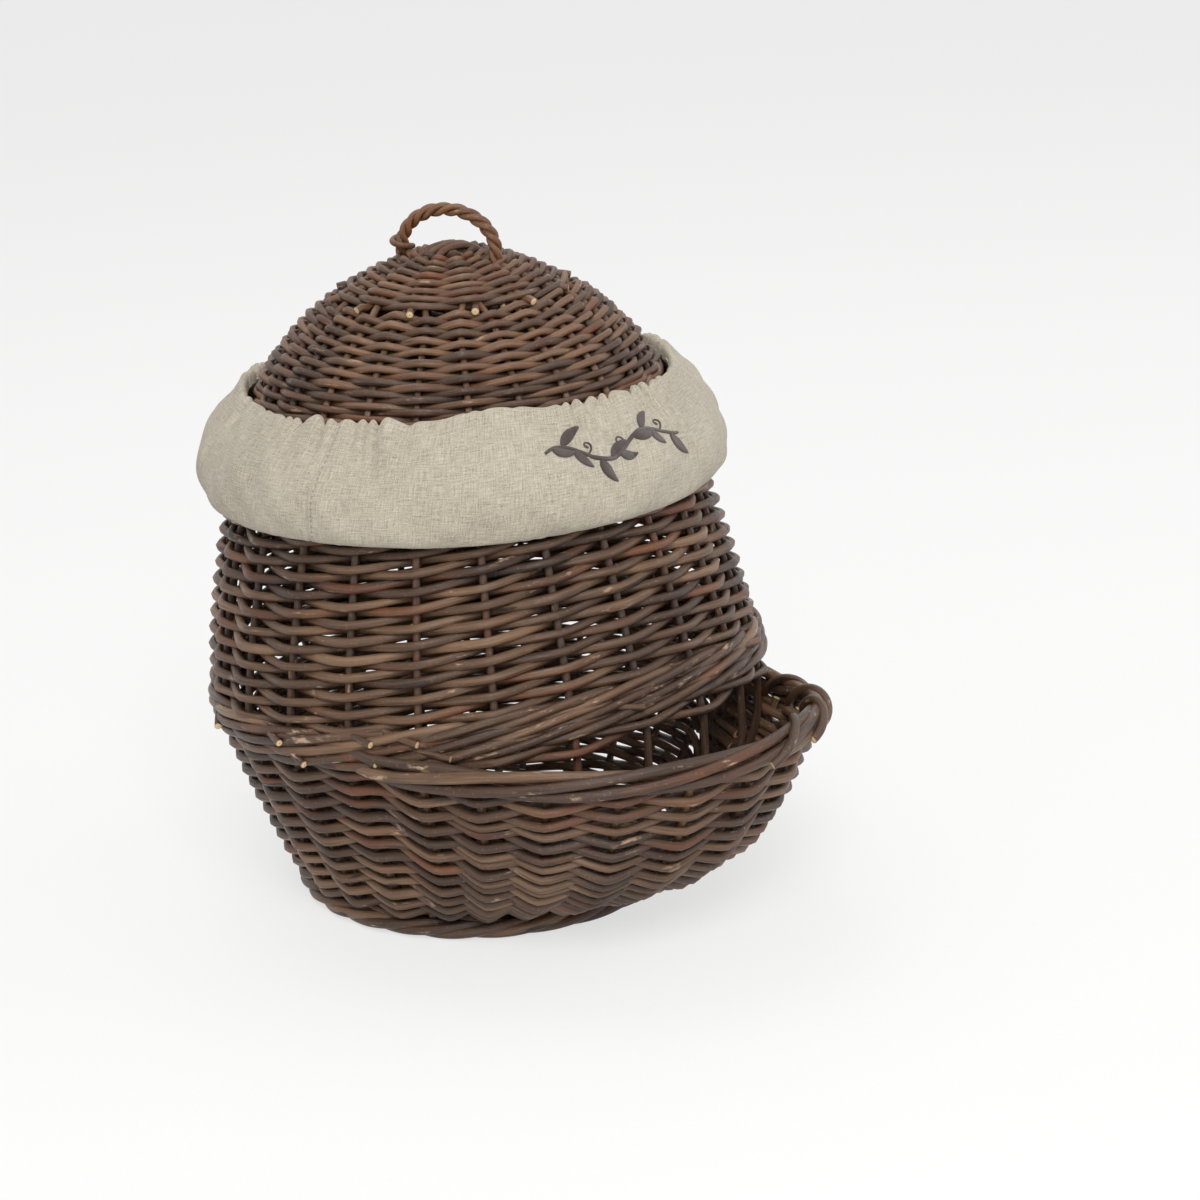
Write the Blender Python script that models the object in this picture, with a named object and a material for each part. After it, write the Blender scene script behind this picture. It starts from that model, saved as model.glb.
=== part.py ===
"""Willow vegetable basket with a front pouch, a gathered linen collar and a loose domed lid.

Blender 4.5, metres, +Z up. The front of the basket, where the pouch stands out, is at -Y.
Everything is laid out around the neck's upright axis. At the end the whole basket is moved
along Y, so that the origin lies on the ground under the middle of its box.
"""
import math

import bmesh
import bpy
from mathutils import Vector

# Basket body: outer radii of the woven wall about the neck's axis, and heights above the ground
BASE_RADIUS = 0.1186
BELLY_RADIUS = 0.159
NECK_RADIUS = 0.143
RIM_RADIUS = 0.119
FOOT_HEIGHT = 0.012
WAIST_HEIGHT = 0.1303
NECK_HEIGHT = 0.250
RIM_HEIGHT = 0.297
BOWL_SWELL = 0.85
BELLY_ROUNDING = 1.8
NECK_ROUNDING = 1.6

# Pouch and the belly that leans out above it
POUCH_REACH = 0.080
POUCH_TURN_HEIGHT = 0.026
POUCH_HALF_ANGLE = math.radians(72)
POUCH_SHARPNESS = 2.1
BELLY_LEAN = 0.020
APRON_HEIGHT = 0.016

# Rods and woven walls
SIDING_THICKNESS = 0.0046
STAKE_DIAMETER = 0.0048
LID_STAKE_DIAMETER = 0.0042
STAKE_BITE_SHARE = 0.6
BASE_STICK_DIAMETER = 0.0045
BORDER_RADIUS = 0.005
LID_BORDER_RADIUS = 0.005
WALE_RADIUS = 0.0055
ROPE_LOBES = 3
ROPE_LAY = 0.110
ROPE_GROOVE_SHARE = 0.10
STAKE_COUNT = 24
FRONT_STAKE_COUNT = 8
POUCH_STAKE_COUNT = 11
POUCH_STAKE_SPACING = math.radians(10.5)
WEAVE_RELIEF = 0.0022
WEAVE_COURSES = 26

# Base and foot
BASE_THICKNESS = 0.005
FOOT_WIDTH = 0.0156
FOOT_ROUNDING = 0.004
STICKS_PER_LAYER = 3
BASE_STICK_SPACING = 0.012

# Lid
LID_OVERHANG = 0.0025
LID_RISE = 0.084
LID_ROUNDING = 1.5
LID_FULLNESS = 0.63
CROWN_RADIUS = 0.069
CROWN_STICK_SPACING = 0.0085
CROWN_STICK_DIAMETER = 0.0044
CROWN_STICK_OPENING = 0.046
LID_ROD_CLEARANCE = 0.0009

# Twisted handle on the lid
HANDLE_SPAN = 0.060
HANDLE_RISE = 0.023
HANDLE_DIRECTION = math.radians(24)
HANDLE_ROD_DIAMETER = 0.003
HANDLE_ROD_COUNT = 3
HANDLE_TWIST_RADIUS = 0.0023
HANDLE_TWISTS = 3.5

# Linen collar
COLLAR_THICKNESS = 0.0014
COLLAR_CLEARANCE = 0.0009
COLLAR_BELLY = 0.0125
COLLAR_RISE = 0.0155
COLLAR_HEM_OVERHANG = 0.0075
COLLAR_HEM_FOLD = 0.0014
COLLAR_FOLD_COUNT = 18
ELASTIC_DIAMETER = 0.002

# Running gap between pieces that touch on the real basket, and how finely round shapes are cut
GAP = 0.0003
SEGMENTS = 48
POUCH_SEGMENT = math.radians(5)
POUCH_SEGMENTS_TO_ANGLE = math.radians(75)
SEARCH_STEP = math.radians(0.5)
STICK_POINTS = 9
ROD_SIDES = 5

WILLOW_BODY = ("willow_body", (0.098, 0.058, 0.038), 0.62)
WILLOW_LID = ("willow_lid", (0.127, 0.073, 0.045), 0.60)
WILLOW_BORDER = ("willow_border", (0.083, 0.049, 0.033), 0.62)
WILLOW_HANDLE = ("willow_handle", (0.170, 0.092, 0.042), 0.52)
LINEN = ("linen", (0.530, 0.474, 0.381), 0.90)
ELASTIC = ("elastic", (0.62, 0.58, 0.50), 0.80)


def clear_scene():
    for item in list(bpy.data.objects):
        bpy.data.objects.remove(item, do_unlink=True)


def material(finish):
    """The finish's material, made once: a Principled surface with its colour and roughness."""
    name, colour, roughness = finish
    found = bpy.data.materials.get(name)
    if found is None:
        found = bpy.data.materials.new(name)
        found.use_nodes = True
        shader = found.node_tree.nodes["Principled BSDF"]
        shader.inputs["Base Color"].default_value = (*colour, 1.0)
        shader.inputs["Roughness"].default_value = roughness
        shader.inputs["Metallic"].default_value = 0.0
    return found


def add_object(name, data, finish, carrier):
    item = bpy.data.objects.new(name, data)
    bpy.context.collection.objects.link(item)
    item.data.materials.append(material(finish))
    item.parent = carrier
    return item


def add_carrier(name):
    carrier = bpy.data.objects.new(name, None)
    bpy.context.collection.objects.link(carrier)
    return carrier


def polar(angle, radius, height):
    """A point at an angle from the front, turning towards +X, about the neck's axis."""
    return Vector((radius * math.sin(angle), -radius * math.cos(angle), height))


def ramp(value, low, high):
    return min(max((value - low) / (high - low), 0.0), 1.0)


def lean_share(angle):
    return 0.5 + 0.5 * math.cos(angle)


def lobe_share(angle):
    """How far the pouch stands out at an angle, from 1 at the front to 0 at its ends."""
    turned = abs(angle) / POUCH_HALF_ANGLE
    return math.cos(min(turned, 1.0) * math.pi / 2) ** POUCH_SHARPNESS if turned < 1 else 0.0


def wall_radius(height):
    """Outer radius of the plain round wall, without the pouch or the lean over it."""
    if height <= WAIST_HEIGHT:
        share = ramp(height, FOOT_HEIGHT, WAIST_HEIGHT)
        return BASE_RADIUS + (BELLY_RADIUS - BASE_RADIUS) * share ** BOWL_SWELL
    if height <= NECK_HEIGHT:
        share = ramp(height, WAIST_HEIGHT, NECK_HEIGHT)
        return BELLY_RADIUS - (BELLY_RADIUS - NECK_RADIUS) * share ** BELLY_ROUNDING
    share = ramp(height, NECK_HEIGHT, RIM_HEIGHT)
    return NECK_RADIUS - (NECK_RADIUS - RIM_RADIUS) * share ** NECK_ROUNDING


def upper_radius(angle, height):
    """Outer radius of the wall above the waist, which leans out over the pouch."""
    lean = BELLY_LEAN * (1.0 - ramp(height, WAIST_HEIGHT, NECK_HEIGHT)) ** 1.2
    return wall_radius(height) + lean * lean_share(angle)


def bowl_radius(angle, height):
    """Outer radius of the wall below the waist, with the pouch at the front."""
    rise = height - FOOT_HEIGHT
    full = 1.0 - math.exp((FOOT_HEIGHT - WAIST_HEIGHT) / POUCH_TURN_HEIGHT)
    reach = POUCH_REACH * (1.0 - math.exp(-rise / POUCH_TURN_HEIGHT)) / full
    lean = BELLY_LEAN * ramp(height, FOOT_HEIGHT, WAIST_HEIGHT)
    return wall_radius(height) + lean * lean_share(angle) + (reach - lean) * lobe_share(angle)


def upper_point(angle, height):
    return polar(angle, upper_radius(angle, height), height)


def bowl_point(angle, height):
    return polar(angle, bowl_radius(angle, height), height)


def inset(surface, angle, height, depth):
    """The point at a depth inside a wall's outer surface, square to it."""
    step = SIDING_THICKNESS
    around = surface(angle + step / BELLY_RADIUS, height) - surface(angle - step / BELLY_RADIUS, height)
    upward = surface(angle, height + step) - surface(angle, max(height - step, FOOT_HEIGHT))
    outward = around.cross(upward).normalized()
    return surface(angle, height) - outward * depth


def level_inset(surface, angle, height, depth):
    """The point inside a wall at the same height, as far in as gives the wall its depth."""
    square = surface(angle, height) - inset(surface, angle, height, depth)
    outward = polar(angle, 1.0, 0.0)
    return surface(angle, height) - outward * (depth * depth / max(square.dot(outward), depth / 2))


def heights_between(low, high, count, crowding=1.0):
    return [low + (high - low) * (i / (count - 1)) ** crowding for i in range(count)]


def angles_around(count):
    return [2 * math.pi * i / count for i in range(count)]


def loft(name, rings, finish, carrier, closed_rings=True, closed_loop=False, thickness=0.0):
    """Faces between successive rings of points, with a wall's thickness or filled end rings."""
    mesh = bmesh.new()
    loops = [[mesh.verts.new(point) for point in ring] for ring in rings]
    pairs = list(zip(loops[:-1], loops[1:]))
    if closed_loop:
        pairs.append((loops[-1], loops[0]))
    for lower, upper in pairs:
        last = len(lower) if closed_rings else len(lower) - 1
        for i in range(last):
            j = (i + 1) % len(lower)
            mesh.faces.new((lower[i], lower[j], upper[j], upper[i]))
    if not thickness:
        if not closed_loop:
            mesh.faces.new(reversed(loops[0]))
            mesh.faces.new(loops[-1])
        bmesh.ops.recalc_face_normals(mesh, faces=mesh.faces)
    data = bpy.data.meshes.new(name)
    mesh.to_mesh(data)
    mesh.free()
    item = add_object(name, data, finish, carrier)
    if thickness:
        wall = item.modifiers.new("wall", "SOLIDIFY")
        wall.thickness = thickness
        wall.offset = -1.0
    data.shade_smooth()
    data.set_sharp_from_angle(angle=math.radians(50))
    return item


def add_rod(mesh, path, diameter, sides=ROD_SIDES):
    """One round rod along a path, with filled ends: a circle carried along, square to the path."""
    loops = []
    for i, point in enumerate(path):
        along = (path[min(i + 1, len(path) - 1)] - path[max(i - 1, 0)]).normalized()
        guide = Vector((0.0, 0.0, 1.0)) if abs(along.z) < 0.8 else point.cross(Vector((0.0, 0.0, 1.0)))
        side = along.cross(guide).normalized()
        upward = side.cross(along)
        ring = [point + (side * math.cos(turn) + upward * math.sin(turn)) * (diameter / 2)
                for turn in angles_around(sides)]
        loops.append([mesh.verts.new(corner) for corner in ring])
    faces = [mesh.faces.new(loops[0]), mesh.faces.new(loops[-1])]
    for lower, upper in zip(loops[:-1], loops[1:]):
        for i in range(sides):
            j = (i + 1) % sides
            faces.append(mesh.faces.new((lower[i], lower[j], upper[j], upper[i])))
    bmesh.ops.recalc_face_normals(mesh, faces=faces)


def rods(name, paths, diameter, finish, carrier):
    """Rods that share one object: a single rod, or rods that a union joins."""
    mesh = bmesh.new()
    for path in paths:
        add_rod(mesh, path, diameter)
    data = bpy.data.meshes.new(name)
    mesh.to_mesh(data)
    mesh.free()
    data.shade_smooth()
    data.set_sharp_from_angle(angle=math.radians(50))
    return add_object(name, data, finish, carrier)


def join(item, paths, diameter):
    """Join more rods to a rod, where they are pushed in beside it or through it."""
    guide = rods(item.name + "_guide", paths, diameter, WILLOW_BODY, item.parent)
    guide.hide_render = True
    guide.display_type = "WIRE"
    union = item.modifiers.new("joined", "BOOLEAN")
    union.operation = "UNION"
    union.object = guide


def rope_section(radius, turn, sides=9):
    """Outline of a bundle of rods: a circle with a groove between each pair of rods."""
    outline = []
    for i in range(sides):
        angle = 2 * math.pi * i / sides
        groove = 0.5 - 0.5 * math.cos(ROPE_LOBES * (angle - turn))
        reach = radius * (1.0 - ROPE_GROOVE_SHARE * groove)
        outline.append((reach * math.cos(angle), reach * math.sin(angle)))
    return outline


def rope(name, path, radius, finish, carrier, closed=True):
    """A border of rods twisted about a level path: the grooved outline turns as it is carried along."""
    rings = []
    travelled = 0.0
    length = sum((b - a).length for a, b in zip(path[:-1], path[1:]))
    if closed:
        length += (path[0] - path[-1]).length
    turns = max(round(length / ROPE_LAY), 1) if closed else length / ROPE_LAY
    for i, point in enumerate(path):
        before = path[i - 1] if (closed or i > 0) else point
        after = path[(i + 1) % len(path)] if (closed or i < len(path) - 1) else point
        along = (after - before).normalized()
        outward = along.cross(Vector((0.0, 0.0, 1.0))).normalized()
        upward = outward.cross(along)
        turn = 2 * math.pi * turns * travelled / length
        ring = [point + outward * u + upward * v for u, v in rope_section(radius, turn)]
        rings.append(ring[::-1])
        travelled += (after - point).length
    return loft(name, rings, finish, carrier, closed_loop=closed)


def turned_ring(name, outline, finish, carrier):
    """A closed outline of (radius, height) corners turned about the neck's axis."""
    rings = [[polar(angle, radius, height) for radius, height in outline]
             for angle in angles_around(SEGMENTS)]
    return loft(name, rings, finish, carrier, closed_loop=True)


def pouch_angles():
    """Angles round the lower wall: close together over the pouch, wider round the back."""
    turn = 2 * math.pi
    front = round(2 * POUCH_SEGMENTS_TO_ANGLE / POUCH_SEGMENT)
    sweep = turn - 2 * POUCH_SEGMENTS_TO_ANGLE
    back = round(sweep / (turn / SEGMENTS))
    angles = [-POUCH_SEGMENTS_TO_ANGLE + POUCH_SEGMENT * i for i in range(front)]
    return angles + [POUCH_SEGMENTS_TO_ANGLE + sweep * i / back for i in range(back)]


def plain_skin(surface, angles, levels):
    return [[surface(angle, height) for angle in angles] for height in levels]


def woven_skin(surface, angles, low, high):
    """Courses of rods up a wall: each lies in front of every second stake and dips behind the next."""
    levels = heights_between(low, high, WEAVE_COURSES)
    rings = []
    for course, height in enumerate(levels[1:-1]):
        rings.append([])
        for i, angle in enumerate(angles):
            dip = (course + i // 2) % 2 if i % 2 else 0.5
            rings[-1].append(inset(surface, angle, height, WEAVE_RELIEF * dip))
    return plain_skin(surface, angles, levels[:1]) + rings + plain_skin(surface, angles, levels[-1:])


def siding(name, surface, angles, levels, finish, carrier, level_ends, outer):
    """A woven wall as a closed shell: the rings of its outer skin, then down its inner one."""
    inner = []
    for height in levels:
        at_end = height in level_ends
        cut = level_inset if at_end else inset
        inner.append([cut(surface, angle, height, SIDING_THICKNESS) for angle in angles])
    return loft(name, outer + inner[::-1], finish, carrier, closed_loop=True)


def stake_depth():
    return SIDING_THICKNESS + 2 * GAP + STAKE_DIAMETER / 2


def foot_inner_radius():
    return BASE_RADIUS - FOOT_WIDTH


def foot_border(carrier):
    """Thick rods wrapped round the bottom edge, flat where the basket stands on them."""
    inner, outer, top, cut = foot_inner_radius(), BASE_RADIUS, FOOT_HEIGHT, FOOT_ROUNDING
    outline = [(inner, cut), (inner + cut, 0.0), (outer - 1.5 * cut, 0.0), (outer - cut / 2, cut),
               (outer, top - cut / 2), (outer, top), (inner + cut, top), (inner, top - cut)]
    turned_ring("foot_border", outline, WILLOW_BORDER, carrier)


def base(carrier):
    """Woven bottom on two crossed layers of sticks, all inside the foot border."""
    plate_bottom = FOOT_HEIGHT + GAP
    shape = bmesh.new()
    bmesh.ops.create_cone(shape, cap_ends=True, segments=SEGMENTS, radius1=base_plate_radius(),
                          radius2=base_plate_radius(), depth=BASE_THICKNESS)
    bmesh.ops.translate(shape, verts=shape.verts, vec=(0.0, 0.0, plate_bottom + BASE_THICKNESS / 2))
    data = bpy.data.meshes.new("base_weave")
    shape.to_mesh(data)
    shape.free()
    data.shade_smooth()
    data.set_sharp_from_angle(angle=math.radians(50))
    add_object("base_weave", data, WILLOW_BODY, carrier)
    level = FOOT_HEIGHT - BASE_STICK_DIAMETER / 2
    reach = foot_inner_radius() - 2 * GAP
    slath = rods("base_slath", stick_paths(reach, BASE_STICK_SPACING, False, lambda r: level),
                 BASE_STICK_DIAMETER, WILLOW_BODY, carrier)
    join(slath, stick_paths(reach, BASE_STICK_SPACING, True, lambda r: level), BASE_STICK_DIAMETER)


def stick_paths(reach, spacing, turned, level_at):
    """Three sticks side by side at the middle, opened out towards their ends until they stand evenly."""
    middle = (STICKS_PER_LAYER - 1) / 2
    step = math.pi / (2 * STICKS_PER_LAYER)
    paths = []
    for i in range(STICKS_PER_LAYER):
        end = polar(math.pi / 2 + step * (i - middle), reach, 0.0)
        near = (i - middle) * spacing
        path = []
        for k in range(STICK_POINTS):
            share = 2 * k / (STICK_POINTS - 1) - 1
            x, y = end.x * share, near + (end.y - near) * share ** 2
            x, y = (y, x) if turned else (x, y)
            path.append(Vector((x, y, level_at(math.hypot(x, y)))))
        paths.append(path)
    return paths


def base_plate_radius():
    return BASE_RADIUS - SIDING_THICKNESS - 2 * GAP


def siding_top_below_wale():
    return WAIST_HEIGHT - WALE_RADIUS - GAP


def lower_levels():
    return heights_between(FOOT_HEIGHT + GAP, siding_top_below_wale(), 6, 1.5)


def upper_levels():
    """Heights up the upper wall, one of them at the neck, where the collar is tucked in."""
    below = heights_between(WAIST_HEIGHT + WALE_RADIUS + GAP, NECK_HEIGHT, 5)
    above = heights_between(NECK_HEIGHT, RIM_HEIGHT - BORDER_RADIUS - GAP, 3)
    return below + above[1:]


def body_walls(carrier):
    levels, angles = lower_levels(), pouch_angles()
    skin = woven_skin(bowl_point, angles, levels[0], levels[-1])
    siding("lower_siding", bowl_point, angles, levels, WILLOW_BODY, carrier, (levels[-1],), skin)
    levels, angles = upper_levels(), angles_around(SEGMENTS)
    skin = woven_skin(upper_point, angles, levels[0], NECK_HEIGHT)
    skin += plain_skin(upper_point, angles, [height for height in levels if height > NECK_HEIGHT])
    siding("upper_siding", upper_point, angles, levels, WILLOW_BODY, carrier, (levels[0], levels[-1]), skin)


def apron_radius(angle):
    return upper_radius(angle, WAIST_HEIGHT)


def sweep_while(clear, count):
    """Angles spread over the front, as far to each side as the pouch's wall stays clear."""
    half = 0.0
    while half + SEARCH_STEP < POUCH_HALF_ANGLE and clear(half + SEARCH_STEP):
        half += SEARCH_STEP
    return [half * (2 * i / (count - 1) - 1) for i in range(count)]


def front_apron(carrier):
    """A few rows woven below the wale, over the opening into the pouch."""
    top = siding_top_below_wale()
    room = SIDING_THICKNESS + 4 * GAP
    angles = sweep_while(lambda a: bowl_radius(a, top - APRON_HEIGHT) - apron_radius(a) > room, 19)
    rings = [[polar(angle, apron_radius(angle), height) for angle in angles]
             for height in (top - APRON_HEIGHT, top)]
    loft("front_apron", rings, WILLOW_BODY, carrier, closed_rings=False, thickness=SIDING_THICKNESS)


def stake_foot():
    """Height of the middle of a stake's lower end, on the woven base."""
    return FOOT_HEIGHT + BASE_THICKNESS + 2 * GAP + STAKE_DIAMETER / 2


def ended_at(path, height):
    """The path with its last step cut short at a height."""
    share = ramp(height, path[-1].z, path[-2].z)
    return path[:-1] + [path[-1].lerp(path[-2], share)]


def stake_above_waist(angle):
    """Up the inside of the upper wall, to just under the rim border that the stake is folded into."""
    return [inset(upper_point, angle, height, stake_depth()) for height in upper_levels()]


def back_stake_path(angle):
    """Up the inside of the wall from the base."""
    levels = [stake_foot()] + [height for height in lower_levels() if height > stake_foot()]
    path = [inset(bowl_point, angle, height, stake_depth()) for height in levels]
    return path + stake_above_waist(angle)


def front_stake_path(angle):
    """Bare from the base up through the opening, then inside the apron, the wale and the upper wall."""
    apron_bottom = siding_top_below_wale() - APRON_HEIGHT
    start = base_plate_radius() - STAKE_DIAMETER
    end = apron_radius(angle) - stake_depth()
    path = []
    for height in heights_between(stake_foot(), apron_bottom, 4):
        share = ramp(height, stake_foot(), apron_bottom)
        inside_pouch = bowl_radius(angle, height) - stake_depth() - 1.5 * STAKE_DIAMETER
        reach = min(start + (end - start) * math.sin(share * math.pi / 2), inside_pouch)
        path.append(polar(angle, reach, height))
    path.append(polar(angle, end, WAIST_HEIGHT))
    return path + stake_above_waist(angle)


def pouch_stake_path(angle):
    """Up the inside of the pouch's wall, from its turn at the foot to under the pouch border."""
    path = [inset(bowl_point, angle, height, stake_depth()) for height in lower_levels()[1:]]
    return ended_at(path, siding_top_below_wale() - STAKE_DIAMETER / 2)


def stakes(carrier):
    step = 2 * math.pi / STAKE_COUNT
    first = (1 - FRONT_STAKE_COUNT) / 2
    around = [step * (first + i) for i in range(STAKE_COUNT)]
    front, back = around[:FRONT_STAKE_COUNT], around[FRONT_STAKE_COUNT:]
    pouch = [POUCH_STAKE_SPACING * (i - (POUCH_STAKE_COUNT - 1) / 2) for i in range(POUCH_STAKE_COUNT)]
    groups = (("front_stake", front, front_stake_path), ("back_stake", back, back_stake_path),
              ("pouch_stake", pouch, pouch_stake_path))
    for name, places, path_at in groups:
        for i, angle in enumerate(places):
            rods(f"{name}_{i + 1}", [path_at(angle)], STAKE_DIAMETER, WILLOW_BODY, carrier)


def wale_point(angle):
    reach = upper_radius(angle, WAIST_HEIGHT) + WALE_RADIUS - SIDING_THICKNESS
    return polar(angle, reach, WAIST_HEIGHT)


def pouch_border_point(angle):
    level = WAIST_HEIGHT - WALE_RADIUS + BORDER_RADIUS
    return polar(angle, bowl_radius(angle, siding_top_below_wale()) - SIDING_THICKNESS / 2, level)


def borders(carrier):
    rope("waist_wale", [wale_point(a) for a in angles_around(SEGMENTS)], WALE_RADIUS, WILLOW_BORDER, carrier)
    room = BORDER_RADIUS + WALE_RADIUS + 2 * GAP
    sweep = sweep_while(lambda a: (pouch_border_point(a) - wale_point(a)).xy.length > room, 27)
    rope("pouch_border", [pouch_border_point(a) for a in sweep], BORDER_RADIUS, WILLOW_BORDER, carrier,
         closed=False)
    rim = [polar(a, rim_circle(), RIM_HEIGHT) for a in angles_around(SEGMENTS)]
    rope("rim_border", rim, BORDER_RADIUS, WILLOW_BORDER, carrier)


def collar_outline():
    """Collar's outer skin from its tucked lower edge to its top hem: radius, height, share of the folds."""
    tuck = NECK_RADIUS + COLLAR_CLEARANCE
    low, high = NECK_HEIGHT, RIM_HEIGHT + COLLAR_RISE
    hem = RIM_RADIUS + COLLAR_HEM_OVERHANG
    rise = high - low
    belly = NECK_RADIUS + COLLAR_BELLY
    shares = [(0.00, 0.00, 0.0), (0.45, 0.03, 0.0), (0.85, 0.14, 0.0), (1.00, 0.32, 0.05),
              (0.92, 0.52, 0.20), (0.55, 0.76, 0.55), (0.18, 0.92, 0.85)]
    points = []
    for out, up, fold in shares[:4]:
        points.append((tuck + (belly - tuck) * out, low + rise * up, fold))
    for out, up, fold in shares[4:]:
        points.append((hem + (belly - hem) * out, low + rise * up, fold))
    points.append((hem, high, 1.0))
    return points


def collar_fold(angle):
    """Uneven gathers: each fold stands out by its own share of the full depth."""
    slow = 0.75 + 0.25 * math.sin(3 * angle + 0.6) * math.sin(7 * angle + 2.0)
    return COLLAR_HEM_FOLD * slow * math.cos(COLLAR_FOLD_COUNT * angle)


def collar(carrier):
    around = angles_around(4 * COLLAR_FOLD_COUNT)
    rings = [[polar(angle, radius + share * collar_fold(angle), height) for angle in around]
             for radius, height, share in collar_outline()]
    loft("linen_collar", rings, LINEN, carrier, thickness=COLLAR_THICKNESS)
    hem_radius, hem_height, _ = collar_outline()[-1]
    top = (hem_radius - COLLAR_HEM_FOLD, hem_height - COLLAR_THICKNESS - ELASTIC_DIAMETER - GAP)
    lower = (NECK_RADIUS + GAP + ELASTIC_DIAMETER / 2, NECK_HEIGHT + COLLAR_THICKNESS + ELASTIC_DIAMETER)
    for name, (radius, height) in (("collar_top_elastic", top), ("collar_lower_elastic", lower)):
        section = [(radius + ELASTIC_DIAMETER / 2 * math.cos(t), height + ELASTIC_DIAMETER / 2 * math.sin(t))
                   for t in angles_around(4)]
        turned_ring(name, section, ELASTIC, carrier)


def rim_circle():
    return RIM_RADIUS - SIDING_THICKNESS / 2


def lid_edge_radius():
    return RIM_RADIUS + LID_OVERHANG


def lid_seat_height():
    """Middle of the lid's border, which rests a little outside the middle of the rim's border."""
    apart = BORDER_RADIUS + GAP + LID_BORDER_RADIUS
    outside = lid_edge_radius() - LID_BORDER_RADIUS - rim_circle()
    return RIM_HEIGHT + math.sqrt(max(apart * apart - outside * outside, 0.0))


def lid_height(radius):
    """Height of the dome's outer skin at a radius."""
    share = min(radius / lid_edge_radius(), 1.0)
    return lid_seat_height() + LID_RISE * (1.0 - share ** (1 / LID_FULLNESS)) ** (1 / LID_ROUNDING)


def lid_radius(height):
    share = ramp(height, lid_seat_height(), lid_seat_height() + LID_RISE)
    return lid_edge_radius() * max(1.0 - share ** LID_ROUNDING, 0.0) ** LID_FULLNESS


def lid_point(angle, height):
    return polar(angle, lid_radius(height), height)


def lid_siding_bottom():
    return lid_seat_height() + LID_BORDER_RADIUS + GAP


def dome_slope(radius):
    """How far the dome's skin runs outwards and how far it drops, for a step of one along it."""
    step = SIDING_THICKNESS
    inner = max(radius - step, 0.0)
    run = radius + step - inner
    drop = lid_height(inner) - lid_height(radius + step)
    length = math.hypot(run, drop)
    return run / length, drop / length


def under_dome(radius, depth):
    """Radius and height of a point at a depth under the dome, square to its skin."""
    run, drop = dome_slope(radius)
    return radius - depth * drop, lid_height(radius) - depth * run


def lid_levels():
    return heights_between(lid_siding_bottom(), lid_height(CROWN_RADIUS + GAP), 5)


def crown_radii():
    edge = CROWN_RADIUS - GAP
    return [edge * (1 - i / 6) + LID_STAKE_DIAMETER * i / 6 for i in range(7)]


def lid_shell(carrier):
    circle = lid_edge_radius() - LID_BORDER_RADIUS
    rope("lid_border", [polar(a, circle, lid_seat_height()) for a in angles_around(SEGMENTS)],
         LID_BORDER_RADIUS, WILLOW_LID, carrier)
    levels, angles = lid_levels(), angles_around(SEGMENTS)
    skin = plain_skin(lid_point, angles, levels)
    siding("lid_siding", lid_point, angles, levels, WILLOW_LID, carrier, (levels[0],), skin)
    outline = [under_dome(radius, SIDING_THICKNESS) for radius in crown_radii()[::-1]]
    outline += [(radius, lid_height(radius)) for radius in crown_radii()]
    places = [a + math.pi / STAKE_COUNT for a in angles_around(STAKE_COUNT)]
    loft("lid_crown", [[polar(a, *corner) for a in places] for corner in outline], WILLOW_LID, carrier)


def angle_of(point):
    return math.atan2(point.x, -point.y)


def lid_stake_path(beside, stick_end, side):
    """From beside a point of a crown stick, out to its own place round the dome, and down to the border."""
    inner = math.hypot(beside.x, beside.y)
    pushed_in = STAKE_BITE_SHARE * (CROWN_STICK_DIAMETER + LID_STAKE_DIAMETER) / 2
    start = angle_of(beside) + side * pushed_in / inner
    depth = SIDING_THICKNESS + LID_ROD_CLEARANCE + LID_STAKE_DIAMETER / 2
    turn = angle_of(stick_end) + side * math.pi / STAKE_COUNT - start
    turn = math.atan2(math.sin(turn), math.cos(turn))
    path = []
    radii = [inner] + [radius for radius in crown_radii()[::-1] if radius > inner]
    for radius in radii + [lid_radius(height) for height in lid_levels()[::-1]]:
        opened = ramp(radius, inner, CROWN_RADIUS + LID_STAKE_DIAMETER)
        path.append(polar(start + turn * opened, *under_dome(radius, depth)))
    return ended_at(path, lid_siding_bottom() + LID_STAKE_DIAMETER / 2)


def lid_rods(carrier):
    """Six crossed sticks under the crown, each with the four stakes pushed in beside its ends."""
    shallow = SIDING_THICKNESS + LID_ROD_CLEARANCE + CROWN_STICK_DIAMETER / 2
    for turned, extra in ((False, 0.0), (True, CROWN_STICK_DIAMETER + 2 * GAP)):
        def level_at(radius, extra=extra):
            dip = extra * (1.0 - ramp(radius, 0.0, CROWN_STICK_OPENING) ** 3)
            return lid_height(radius) - (shallow + dip) / dome_slope(radius)[0]
        paths = stick_paths(CROWN_RADIUS - CROWN_STICK_DIAMETER, CROWN_STICK_SPACING, turned, level_at)
        for i, path in enumerate(paths):
            name = f"lid_stick_{'lower' if turned else 'upper'}_{i + 1}"
            stick = rods(name, [path], CROWN_STICK_DIAMETER, WILLOW_LID, carrier)
            ends = ((path[1], path[0]), (path[-2], path[-1]))
            beside = [lid_stake_path(near, end, side) for near, end in ends for side in (-1, 1)]
            join(stick, beside, LID_STAKE_DIAMETER)


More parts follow.
